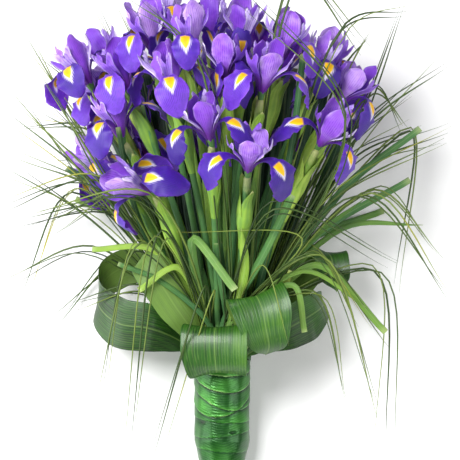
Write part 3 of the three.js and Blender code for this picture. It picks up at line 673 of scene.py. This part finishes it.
def fallRelief(across, along, half, phase):
    blown = smooth(0.44, 0.6, along)
    cup = 2.2 + 2.6 * sin(phase * 7)
    bend = cup * half / 16 * across * across * blown - 1.7 * across * across * (1 - blown)
    waves = 1.6 * sin(along * 34 + phase + 1.5 * across)
    waves += 0.9 * sin(along * 61 - 3 * across + 2 * phase)
    ridge = -0.9 * exp(-(across * half / 2.4) ** 2) * blown * (1 - smooth(0.72, 0.85, along))
    return bend + waves * abs(across) ** 3 * blown + ridge


def standardRelief(across, along, half, phase):
    roll = -(3.2 + 2 * sin(phase * 4)) * half / 12 * across * across
    ruffle = 1.6 * abs(across) ** 3 * smooth(0.3, 0.6, along) * sin(along * 22 + phase + 2 * across)
    crease = 0.7 * exp(-(across * half / 1.6) ** 2)
    return roll + ruffle + crease


def armRelief(across, along, half, phase):
    crest = smooth(0.68, 1, along)
    roof = 1.9 * across * across * (1 - crest)
    return roof - 5.5 * crest * abs(across) + 0.5 * crest * sin(across * 9 + phase)


reliefs = {"fall": fallRelief, "standard": standardRelief, "styleArm": armRelief}


def petalBlade(kind, azimuth, bend, place, phase, grid):
    petal = petals[kind]
    reach, dip, swing = bend
    corners = []
    for i, (out, up) in enumerate(petal["arch"]):
        angle = radians(azimuth + (swing if i > 1 else 0))
        out = out * (reach if i else 1)
        if i == 3:
            out += petal["strays"] * sin(phase * 4) * reach
            up += petal["strays"] * sin(phase * 9) - dip
        corners.append(place @ Vector((out * cos(angle), out * sin(angle), up)))
    line = Line(interpolate_bezier(*corners, bloom["archSteps"]))
    angle = radians(azimuth)
    way = place.to_3x3() @ Vector((-sin(angle), cos(angle), 0))
    broad = (0.6 + 0.4 * reach) * (1 + 0.12 * sin(phase * 5))
    twist = petal["twist"] * sin(phase * 3)

    def acrossAt(along):
        turned = way.copy()
        turned.rotate(Matrix.Rotation(radians(twist) * along * along, 3, line.heading(along)))
        return turned

    def section(across, over, along):
        half = profile(petal["outline"], along) * broad
        ahead = -petal["fork"] * (1 - abs(across)) ** 1.5 * smooth(0.6, 1, along)
        up = reliefs[kind](across, along, half, phase) + over * petal["thick"] / 2 * (1 - along ** 8)
        return across * half, ahead, up if half > 0 else 0
    return line, acrossAt, section, grid


frames = [flowerFrame(line, flower) for line, flower in zip(stemLines, flowers)]
bloomParts = [[] for flower in flowers]


def placePetal(i, kind, azimuth):
    node = numbered("iris_bloom", i)
    openness = flowers[i]["open"] if kind == "fall" else 1
    phase = dice.uniform(0, 6)
    tone = dice.uniform(0, 1)
    for reach, dip, swing in petalBends:
        bend = (reach * openness, dip, swing)
        shape = shadow([petalBlade(kind, azimuth, bend, frames[i], phase, bloom["coarse"])])
        if crossings(shape, node) == 0:
            keep(shape, node)
            bloomParts[i].append((kind, azimuth, bend, phase, tone))
            return


# Collar of aspidistra leaves: points of the midrib with half the width there, and the way across at both ends
collar = {
    "thick": 0.7, "rooted": (70, 86, 102), "rootHalf": 2.2, "steps": 14, "grid": (14, 80), "coarse": (3, 24),
    "leaves": [
        {"stalk": -88, "dullSide": -1, "tone": 0.3, "across": [(0.2, 1, 0), (0.1, 1, 0.25)],
         "midrib": [(-31, 110, 1, 5), (-46, 122, 14, 15), (-72, 133, 32, 24), (-103, 138, 26, 25),
                    (-123, 157, 8, 22), (-117, 180, -8, 20), (-96, 193, -15, 19), (-70, 190, -14, 12),
                    (-62, 184, -12, 0)]},
        {"stalk": -48, "dullSide": 1, "tone": 0.6, "across": [(0.5, 0.6, -0.2), (0.55, 0.7, 0)],
         "midrib": [(-24, 112, 21, 5), (-31, 132, 34, 12), (-48, 158, 46, 18), (-64, 184, 50, 19),
                    (-76, 203, 42, 18), (-74, 206, 24, 15), (-62, 192, 20, 0)]},
        {"stalk": -9, "dullSide": 1, "tone": 0.6, "across": [(1, 0, 0.1), (0.93, 0.06, 0.36)],
         "midrib": [(-4, 108, 31, 8), (-5, 124, 46, 20), (-6, 135, 58, 32), (-7, 130, 68, 34),
                    (-7, 114, 71, 34), (-6, 98, 65, 32), (-5, 90, 52, 28), (-5, 96, 41, 0)]},
        {"stalk": 33, "dullSide": 1, "tone": 0.62, "across": [(0.85, 0.4, 0), (0.95, 0.25, 0)],
         "midrib": [(18, 110, 27, 6), (26, 136, 40, 15), (30, 158, 54, 27), (33, 166, 65, 29),
                    (39, 154, 75, 29), (43, 134, 77, 25), (46, 116, 66, 17), (43, 107, 52, 0)]},
        {"stalk": 76, "dullSide": 1, "tone": 0.4, "across": [(-0.2, 0.95, 0.2), (-0.3, 0.8, 0.5)],
         "midrib": [(31.5, 110, 10, 5), (46, 121, 22, 14), (64, 132, 34, 22), (83, 143, 37, 24),
                    (97, 152, 29, 19), (101, 157, 15, 11), (96, 158, 4, 0)]},
        {"stalk": 94, "dullSide": 1, "tone": 0.5, "across": [(0.8, -0.5, 0.3), (1, -0.15, 0.2)],
         "midrib": [(32, 110, -5, 6), (58, 146, -14, 12), (84, 186, -12, 16), (100, 208, -1, 17),
                    (108, 204, 13, 17), (112, 184, 19, 16), (114, 168, 14, 0)]},
    ],
}


def ringPoint(degrees, height, radius=handle["ring"]):
    angle = radians(degrees)
    return Vector((radius * sin(angle), height, radius * cos(angle)))


def acrossFromRing(degrees, wayAt):  # lies along the ring at the foot and turns to its own way higher up
    foot = ringPoint(degrees + 90, 0).normalized()

    def acrossAt(along):
        way = wayAt(along)
        nearer = -foot if foot.dot(way) < 0 else foot
        return nearer.lerp(way, min(max((along - 0.14) / 0.2, 0), 1))
    return acrossAt


def collarBlade(entry, phase, grid):
    root = [(*ringPoint(entry["stalk"], height), collar["rootHalf"]) for height in collar["rooted"]]
    knots = root + entry["midrib"]
    line = lineThrough([knot[:3] for knot in knots], collar["steps"])
    last = len(knots) - 1
    halves = [[i / last, knot[3]] for i, knot in enumerate(knots)]
    start, end = [Vector(way) for way in entry["across"]]
    acrossAt = acrossFromRing(entry["stalk"], lambda along: start.lerp(end, along))

    def section(across, over, along):
        half = profile(halves, along) * smooth(-0.02, 0.02, along)
        half *= min(1, ((1 - along) / 0.05) ** 0.5) if along > 0.95 else 1
        cup = -0.09 * half * across * across
        keel = 0.5 * exp(-(across * half / 1.2) ** 2)
        wave = 0.02 * half * sin(along * 30 + phase) * abs(across) ** 2
        ribs = 0.05 * sin(across * 34)
        return across * half, 0, cup + keel + wave + ribs + over * collar["thick"] / 2 * (1 - across ** 8)
    return line, acrossAt, section, grid


# Stems, valves and collar stand where they grow, then the petals find their places between them
for i in range(len(flowers)):
    valves = [valveBlade(i, number, valve["coarse"]) for number in (0, 1)]
    keep(shadow([stemBlade(i, stem["coarse"]), *valves]), stemOwner[i])
for n, entry in enumerate(collar["leaves"]):
    keep(shadow([collarBlade(entry, n, collar["coarse"])]), numbered("aspidistra_leaf", n))
frontFirst = sorted(range(len(flowers)), key=lambda i: -flowers[i]["at"][2])
for kind, i, degrees in product(petals, frontFirst, (0, 120, 240)):
    placePetal(i, kind, flowers[i]["turn"] + petals[kind]["azimuth"] + degrees)
print("petals placed", sum(len(parts) for parts in bloomParts))


def makeBloom(i):
    bm = newMesh()
    for kind, azimuth, bend, phase, tone in bloomParts[i]:
        shape = petalBlade(kind, azimuth, bend, frames[i], phase, petals[kind]["grid"])
        blade(bm, *shape, tone=tone, finish=list(petalLooks).index(kind), crowd=bloom["crowd"])
    foot = Line([frames[i] @ Vector((0, 0, blend(-bloom["foot"], bloom["foot"], k / 4))) for k in range(5)])
    section = roundRod(lambda along: profile(bloom["girth"], along))
    way = frames[i].to_3x3() @ Vector((1, 0, 0))
    blade(bm, foot, lambda along: way, section, bloom["footGrid"], finish=len(petalLooks))
    finishPiece(bm, numbered("iris_bloom", i), "_petals", petalFinishes + [stemSkin])


for i in range(len(flowers)):
    makeBloom(i)
print("blooms made")

# Cut leaves and bear grass grow in tufts from the ring of stems
tufts = [-112, -66, -27, 12, 50, 112, 165]  # places in the ring, from the sky side
bladeKinds = {  # tones is what a tone is drawn from, and finish is 0 for leaf and 1 for grass
    "cutLeaf": {"thick": 0.8, "tones": (0.25, 0.62), "grid": (5, 36), "finish": 0},
    "grass": {"thick": 0.8, "tones": (0.1, 0.6), "grid": (2, 36), "finish": 1},
    "companion": {"thick": 0.5, "tones": (0.0, 0.75), "grid": (2, 36), "finish": 1},
}
bladeForm = {
    "pointed": [[0, 0.3], [0.2, 0.6], [0.5, 1], [0.85, 0.8], [1, 0.05]],
    "cut": [[0, 0.3], [0.25, 0.6], [0.5, 1], [1, 0.85]],
    "coarse": (2, 16), "depths": (0, 8, -8, 16, -16, 26, -26, 38, -38),  # tried in turn, in mm
}
grassForm = {"half": 1.2, "companions": 2, "scatter": 13, "thinner": (0.5, 0.85)}

# Each cut leaf: its bend, its tip, half its width, its tone if that isn't drawn, and whether it is pointed.
# The last eleven are broad near-black leaves behind the stems, a dark sheet of painted shade in the gaps
# between them.
cutLeaves = [
    ((-118, 268, 10), (-155, 292, 6), 4), ((-66, 210, 46), (-128, 211, 36), 3.6, 0.75),
    ((-44, 194, 58), (-81, 171, 60), 3.8, 0.76), ((-60, 180, 44), (-102, 197, 40), 3),
    ((-28, 222, 60), (13, 172, 80), 4.9, 0.54), ((40, 205, 50), (68, 264, 74), 4.5, 0.5),
    ((22, 190, 54), (19, 232, 78), 5.5, 0.74, True), ((56, 164, 60), (68, 190, 66), 3.4, 0.88),
    ((-4, 198, 50), (-5, 217, 64), 3.4, 0.5), ((96, 226, 20), (187, 280, 14), 4),
    ((120, 232, 0), (200, 235, -4), 3.4, None, True), ((92, 196, 42), (162, 129, 30), 4, 0.61),
    ((80, 190, 48), (142, 154, 40), 3, None, True), ((70, 176, 74), (81, 130, 84), 3.5, 0.6),
    ((120, 270, 22), (197, 331, 16), 4), ((86, 218, 38), (142, 262, 40), 3.2, None, True),
    ((66, 300, 66), (79, 400, 84), 3.6), ((-84, 246, 30), (-101, 330, 72), 3),
    ((-80, 230, -52), (-150, 262, -60), 4), ((90, 220, -50), (165, 250, -62), 4),
    ((-66, 236, -26), (-116, 344, -46), 9, 0.1), ((-52, 240, -38), (-84, 398, -54), 10, 0.05),
    ((-42, 232, -40), (-62, 372, -58), 10, 0.0), ((-26, 226, -42), (-40, 330, -62), 10, 0.08, True),
    ((-14, 236, -44), (-26, 384, -66), 11, 0.1), ((4, 232, -46), (4, 370, -68), 11, 0.02, True),
    ((16, 236, -44), (26, 384, -66), 10, 0.08), ((32, 232, -44), (46, 372, -66), 11, 0.0),
    ((46, 236, -40), (68, 396, -56), 11, 0.06), ((64, 230, -34), (102, 384, -48), 11, 0.1),
    ((80, 226, -28), (126, 340, -44), 9, 0.1, True),
]

# Each blade of grass: its bend and its tip. Two stand alone, with half their width and their tone.
grass = [
    ((-120, 270, 36), (-219, 352, 20)), ((-110, 262, 20), (-205, 301, 4)),
    ((-130, 240, 14), (-221, 295, 0)), ((-110, 300, -20), (-191, 354, -34)),
    ((-118, 330, -34), (-208, 335, -44)), ((-120, 278, 44), (-219, 246, 30)),
    ((-70, 266, 84), (-194, 243, 60)), ((-92, 266, 74), (-172, 236, 64)),
    ((-110, 250, 8), (-205, 241, -18)), ((-150, 268, -30), (-205, 160, -58)),
    ((-130, 214, -10), (-217, 181, -30)), ((-130, 310, -24), (-205, 438, -20)),
    ((-100, 330, -60), (-192, 411, -50)), ((-70, 330, -72), (-127, 462, -40)),
    ((-60, 350, -76), (-110, 464, -62)), ((-26, 400, 112), (-90, 454, 84)),
    ((-120, 290, 60), (-178, 381, 50)), ((-120, 264, 52), (-215, 375, 34)), ((118, 340, 84), (19, 462, 78)),
    ((40, 380, -70), (72, 464, -52)), ((76, 470, 96), (135, 400, 70)), ((120, 430, 70), (181, 444, 40)),
    ((128, 320, 20), (179, 452, 20)), ((140, 330, 40), (224, 392, 20)), ((120, 390, 50), (144, 419, 60)),
    ((150, 372, -20), (180, 334, -30)), ((130, 300, -10), (191, 330, -20)),
    ((140, 290, -30), (228, 328, -50)), ((110, 260, 30), (220, 321, 26)),
    ((190, 330, -40), (175, 175, -62)), ((150, 270, 40), (218, 202, 40)), ((140, 264, 58), (227, 155, 40)),
    ((50, 250, 96), (169, 198, 84)), ((96, 206, 76), (158, 30, 24)), ((150, 190, 30), (165, 0, -10)),
    ((90, 170, 66), (122, 62, 40)), ((90, 210, 40), (134, 135, 44)), ((-78, 218, 66), (-125, 60, 28)),
    ((-58, 230, 82), (-93, 0, 10)), ((78, 222, 80), (-44, 228, 84), 0.9, 0.66),
    ((40, 196, 78), (65, 118, 86), 0.8, 0.62), ((-16, 176, 84), (-71, -6, 24)),
    ((-80, 176, 22), (-150, 158, 0)), ((-90, 300, -60), (-180, 300, -74)),
    ((-40, 300, -84), (-70, 440, -90)), ((60, 320, -86), (110, 440, -70)),
    ((110, 300, -60), (190, 380, -60)), ((-100, 200, -50), (-170, 130, -46)),
    ((100, 190, -46), (170, 110, -40)),
]


def bladeLine(degrees, bend, end, depth, order):  # order fans the blades of a tuft round the ring
    beside = degrees + 1.7 * (order * 5 % 11 - 5)
    lift = Vector((0, 0, depth))
    knots = [
        ringPoint(degrees, 66),
        ringPoint(blend(degrees, beside, 0.5), handle["flareFrom"] + 11, handle["ring"] + 3.5),
        ringPoint(beside, handle["flareFrom"] + 32, handle["ring"] + 9 + 2 * (order % 3)),
        Vector(bend) + lift,
        Vector(end) + lift,
    ]
    return lineThrough(knots)


def facingSky(line):  # the way across that turns a blade's face up, and never turns over
    ways = []
    for heading in line.ways:
        way = heading.cross(Vector((0, 0.4, 1))).normalized()
        ways.append(-way if ways and way.dot(ways[-1]) < 0 else way)
    return lambda along: between(ways, along)


def tuftBlade(kind, line, degrees, half, pointed, grid):
    tail = bladeForm["pointed" if pointed else "cut"]

    def section(across, over, along):
        wide = half * profile(tail, along)
        up = -0.22 * wide * across * across + over * bladeKinds[kind]["thick"] / 2
        return across * wide, 0, up * (0.02 if along in (0, 1) and not pointed else 1)
    return line, acrossFromRing(degrees, facingSky(line)), section, grid


def nearestTufts(bend):
    towards = atan2(bend[0], bend[2]) * 180 / pi
    return sorted(tufts, key=lambda angle: abs((angle - towards + 540) % 360 - 180))[:2]


def tuftNode(degrees):
    return numbered("foliage_tuft", tufts.index(degrees))


tuftParts = {degrees: [] for degrees in tufts}


def placeBlade(kind, bend, end, half, tone=None, pointed=False):  # where it crosses the fewest others
    best = None
    for depth, degrees in product(bladeForm["depths"], nearestTufts(bend)):
        line = bladeLine(degrees, bend, end, depth, len(tuftParts[degrees]))
        shape = shadow([tuftBlade(kind, line, degrees, half, pointed, bladeForm["coarse"])])
        met = crossings(shape, tuftNode(degrees))
        if met is not None and (best is None or met < best[0]):
            best = met, degrees, line, shape
        if met == 0:
            break
    if not best:
        return None
    met, degrees, line, shape = best
    keep(shape, tuftNode(degrees))
    drawn = dice.uniform(*bladeKinds[kind]["tones"])
    tuftParts[degrees].append((kind, line, half, pointed, drawn if tone is None else tone))
    return degrees, line


def placeCompanion(degrees, line):  # a thinner blade that keeps near a placed one
    scatter = grassForm["scatter"]
    shifts = [Vector([dice.uniform(-1, 1) * scatter for axis in range(3)]) for knot in range(2)]
    bend = line.at(0.75) + shifts[0] * 0.7
    end = line.at(1) + shifts[1]
    beside = bladeLine(degrees, bend, end, 0, len(tuftParts[degrees]))
    heights = [(toRow @ beside.at(k / 20)).z for k in range(21)]
    if min(heights) > room["lineGround"] and max(heights) < room["top"]:
        half = grassForm["half"] * dice.uniform(*grassForm["thinner"])
        tone = dice.uniform(*bladeKinds["companion"]["tones"])
        tuftParts[degrees].append(("companion", beside, half, True, tone))


for entry in cutLeaves:
    placeBlade("cutLeaf", *entry)
for bend, end, *alone in grass:
    half, tone = alone or (grassForm["half"], None)
    found = placeBlade("grass", bend, end, half, tone, True)
    if found and not alone:
        for companion in range(grassForm["companions"]):
            placeCompanion(*found)


# Leaves that rise beside the stems
sheath = {
    "tries": [(0.86, 9), (0.8, 12), (0.74, 8), (0.66, 10), (0.86, 16), (0.6, 14), (0.5, 8), (0.4, 5)],
    "half": [[0, 3.2], [0.25, 5.8], [0.6, 6.4], [0.85, 4.2], [1, 0.3]],
    "perStem": 5, "turns": 8, "free": 0.34, "tones": (0.02, 0.5), "grid": (6, 28), "coarse": (2, 8),
    "nearFrom": 20,  # a stem is near when its flower stands further to the sky than this, in mm
    "broadBehind": 1.5, "paintedLightNear": 0.2,  # wider leaves on the far stems; the near ones painted lighter, as painted light on the sky side
}


def sheathBlade(i, height, aside, angle, grid):
    out = Vector((cos(angle), 0, sin(angle)))
    free = sheath["free"]
    route = [(0.2, 3.4), (free, 4), (blend(free, height, 0.5), 5.5 + aside * 0.3), (height, 4 + aside)]
    line = lineThrough([stemLines[i].at(share) + out * gap for share, gap in route])
    flat = Vector((-out.z, 0, out.x))
    broad = sheath["broadBehind"] if flowers[i]["at"][2] < sheath["nearFrom"] else 1

    def section(across, over, along):
        half = profile(sheath["half"], along) * broad
        fold = 1.8 * (1 - along) + 0.7
        up = fold * across * across * (half / 5) - fold * 0.3
        return across * half, 0, -up + 0.3 * over * (1 - along ** 6)
    return line, lambda along: flat, section, grid


def growSheath(i):
    start = dice.uniform(0, 6)
    for (height, aside), turn in product(sheath["tries"], range(sheath["turns"])):
        angle = start + turn * 2 * pi / sheath["turns"]
        shape = shadow([sheathBlade(i, height, aside, angle, sheath["coarse"])])
        if crossings(shape, stemOwner[i]) == 0:
            keep(shape, stemOwner[i])
            return height, aside, angle
    return None


def makeStems(node, pair):
    bm = newMesh()
    for i in pair:
        tone = dice.uniform(*stem["tones"])
        # leaves on the near stems are painted lighter, as painted light falling on the sky side
        near = sheath["paintedLightNear"] if flowers[i]["at"][2] > sheath["nearFrom"] else 0
        blade(bm, *stemBlade(i, stem["grid"]), tone=tone)
        for number in (0, 1):
            shape = valveBlade(i, number, valve["grid"])
            blade(bm, *shape, tone=tone + dice.uniform(*valve["lighter"]))
        for number in range(sheath["perStem"]):
            grown = growSheath(i)
            if grown:
                shape = sheathBlade(i, *grown, sheath["grid"])
                blade(bm, *shape, tone=near + dice.uniform(*sheath["tones"]), finish=1)
    finishPiece(bm, node, "_grown", [stemSkin, leaf])


for n, pair in enumerate(pairs):
    makeStems(numbered("leafy_stems", n), pair)
print("stems made")


def makeTuft(degrees):
    bm = newMesh()
    for kind, line, half, pointed, tone in tuftParts[degrees]:
        shape = tuftBlade(kind, line, degrees, half, pointed, bladeKinds[kind]["grid"])
        blade(bm, *shape, tone=tone, finish=bladeKinds[kind]["finish"])
    finishPiece(bm, tuftNode(degrees), "_blades", [leaf, grassSkin])


for degrees in tufts:
    makeTuft(degrees)
print("grass and cut leaves made")

for n, entry in enumerate(collar["leaves"]):
    bm = newMesh()
    blade(bm, *collarBlade(entry, n, collar["grid"]), tone=entry["tone"])
    finishPiece(bm, numbered("aspidistra_leaf", n), "_blade", [collarSkins[entry["dullSide"]]])
print("collar made")

# Satin ribbon. The hollow is radius and height; inside it the tone is hollowShade, a painted shade. Each wrap
# is a
# tilted ring: height of its lower edge, how far it sags at the front, how far it drops to the right, and how
# proud it stands, which also sets the painted highlight above its edge and the painted shade below it. A pin
# is across and up, with painted shade in the dimple round it.
ribbon = {
    "radius": 27.2, "top": 101, "bottom": -22, "taperFrom": 20, "endRadius": 16,
    "hollow": [(0, -18), (8, -17.5), (13, 0), (25.4, 24), (25.4, 82), (26.5, 90), (26.5, 101)],
    "hollowShade": 0.3, "around": 200, "rows": 270, "hollowRows": 12, "endRows": 8,
    "wraps": [(93, 8, 2, 0.9), (84, 15, 4, 1.0), (68, 15, 8, 0.8), (65, 20, -5, 0.9), (43, 4, 2, 0.4),
              (28, 3, -3, 0.35), (12, 2, 2, 0.3), (-4, 1, -1, 0.3), (-16, 1, 1, 0.3)],
    "pins": [(-20, 39), (11, 29)],
}


def ribbonOuter(angle, height):
    front, right = cos(angle), sin(angle)
    radius = ribbon["radius"]
    if height < ribbon["taperFrom"]:
        share = (height - ribbon["bottom"]) / (ribbon["taperFrom"] - ribbon["bottom"])
        radius = blend(ribbon["endRadius"], radius, share ** 0.8)
    proud = fold = glint = creaseShade = pucker = 0
    for edge, sag, drop, lift in ribbon["wraps"]:
        above = height - (edge - sag * front - drop * right)
        if above > 0:
            pleat = sin(above * 1.9 + 3 * noise.noise(Vector((front, right, edge))))
            proud = max(proud, lift * smooth(0, 1.1, above) * exp(-above / 13))
            fold += 0.3 * lift * exp(-above / 5) * pleat
            glint = max(glint, lift * exp(-above / 1.2))
        else:
            fold -= 0.35 * exp(above / 1.2)
            creaseShade = max(creaseShade, lift * exp(above / 1.1))
    crush = noise.noise(Vector((front * 2.4, right * 2.4, height * 0.05)))
    for across, pin in ribbon["pins"]:
        if front > 0:
            pucker += exp(-((right * radius - across) ** 2 / 9 + (height - pin) ** 2 / 2.2))
    # painted light on the satin: lighter where a wrap stands proud, a painted highlight just above each edge,
    # painted shade in the crease under each edge and round the pins
    shade = 0.39 + 0.12 * proud + 0.4 * glint - 0.6 * creaseShade - 0.3 * pucker
    return radius + proud + fold * 0.6 + crush - pucker * 1.1, shade


def ribbonPoint(angle, row):  # radius, height and tone with painted light and shade: up the hollow, down the outside and over the end
    if row <= ribbon["hollowRows"]:
        radius, height = [between(values, row / ribbon["hollowRows"]) for values in zip(*ribbon["hollow"])]
        # the inside of the hollow takes a darker tone, a painted shade
        return radius, height, ribbon["hollowShade"]
    wallRows = ribbon["rows"] - ribbon["hollowRows"] - ribbon["endRows"]
    share = min(1, (row - ribbon["hollowRows"]) / wallRows)
    height = blend(ribbon["top"], ribbon["bottom"] + 1, share)
    radius, shade = ribbonOuter(angle, height)
    if share == 1:
        closing = (ribbon["rows"] - row) / ribbon["endRows"]
        pleats = 0.5 * sin(angle * 11) * closing * (1 - closing) * 4
        height += pleats - 1.5 * (1 - closing)
        radius *= closing
    return radius, height, shade


def makeRibbon():
    bm = newMesh()
    verts, placeLayer, measureLayer = gridIn(bm, ribbon["around"], ribbon["rows"])
    for vert in verts:
        angle = pi * vert.co.x
        row = round((vert.co.y + 1) / 2 * ribbon["rows"])
        radius, height, shade = ribbonPoint(angle, row)
        vert[placeLayer] = (sin(angle), row / ribbon["rows"], 0)
        vert[measureLayer] = (angle * radius, height, shade)
        vert.co = Vector((radius * sin(angle), height, radius * cos(angle)))
    for face in bm.faces:
        face.smooth = True
    finishPiece(bm, "ribbon_wrap", "_satin", [satin])


# A tie of twisted twine round the stems, under the ribbon
tie = {"radius": 25.6, "foot": 90.5, "turns": 2.5, "pitch": 2.3, "steps": 120, "half": 0.55, "grid": (5, 360)}


def makeTie():
    points = []
    for k in range(tie["steps"] + 1):
        wound = tie["turns"] * k / tie["steps"]
        points.append(ringPoint(360 * wound, tie["foot"] + tie["pitch"] * wound, tie["radius"]))

    def section(across, over, along):
        angle = atan2(over, across)
        radius = 0 if along in (0, 1) else tie["half"] * (1 + 0.15 * cos(3 * angle + along * 420))
        return across * radius, 0, over * radius
    bm = newMesh()
    blade(bm, Line(points), lambda along: Vector((0, 1, 0)), section, tie["grid"])
    finishPiece(bm, "binding_tie", "_twine", [twine])


makeRibbon()
makeTie()
print("ribbon and tie made")

# Floor, light and camera
studio = {
    "floor": 6, "floorDrop": 0.0005, "lightSize": 0.9, "farthest": 50,  # in metres
    "lights": {  # place in mm, power in watts
        "key_light": ((-800, 850, 1650), 48), "fill_light": ((1200, 100, 1100), 10),
        "low_light": ((-1300, -100, 500), 11.5), "front_light": ((300, -900, 1200), 5),
    },
    "aim": Vector((8, 230, 0)), "distance": 2600,  # in mm
    "lens": 203.5, "sensor": 36, "world": 0.2,
}


def aim(thing, place):
    place, target = toRow @ Vector(place), toRow @ studio["aim"]
    upward = (toRow.to_3x3() @ Vector((0, 1, 0))).normalized()
    back = (place - target).normalized()
    right = upward.cross(back).normalized()
    turn = Matrix((right, back.cross(right), back)).transposed().to_4x4()
    thing.matrix_world = Matrix.Translation(place) @ turn


bm = bmesh.new()
bmesh.ops.create_grid(bm, x_segments=1, y_segments=1, size=studio["floor"])
floorMesh = bpy.data.meshes.new("studio_floor")
bm.to_mesh(floorMesh)
bm.free()
floor = show("studio_floor", floorMesh)
floor.location.z = -studio["floorDrop"]
floorFinish = Finish("pale_floor")
floorMesh.materials.append(floorFinish.finish(Base_Color=(250, 250, 250), Roughness=0.9))

for name, (place, power) in studio["lights"].items():
    light = bpy.data.lights.new(name, "AREA")
    light.size = studio["lightSize"]
    light.energy = power
    aim(show(name, light), place)

world = bpy.data.worlds.new("studio")
world.use_nodes = True
background = world.node_tree.nodes["Background"].inputs
background["Color"].default_value = (1, 1, 1, 1)
background["Strength"].default_value = studio["world"]
bpy.context.scene.world = world
bpy.context.scene.view_settings.view_transform = "Standard"

cameraData = bpy.data.cameras.new("camera")
cameraData.lens = studio["lens"]
cameraData.sensor_width = studio["sensor"]
cameraData.clip_end = studio["farthest"]
camera = show("camera", cameraData)
aim(camera, studio["aim"] + Vector((0, 0, studio["distance"])))
bpy.context.scene.camera = camera
print("studio set")
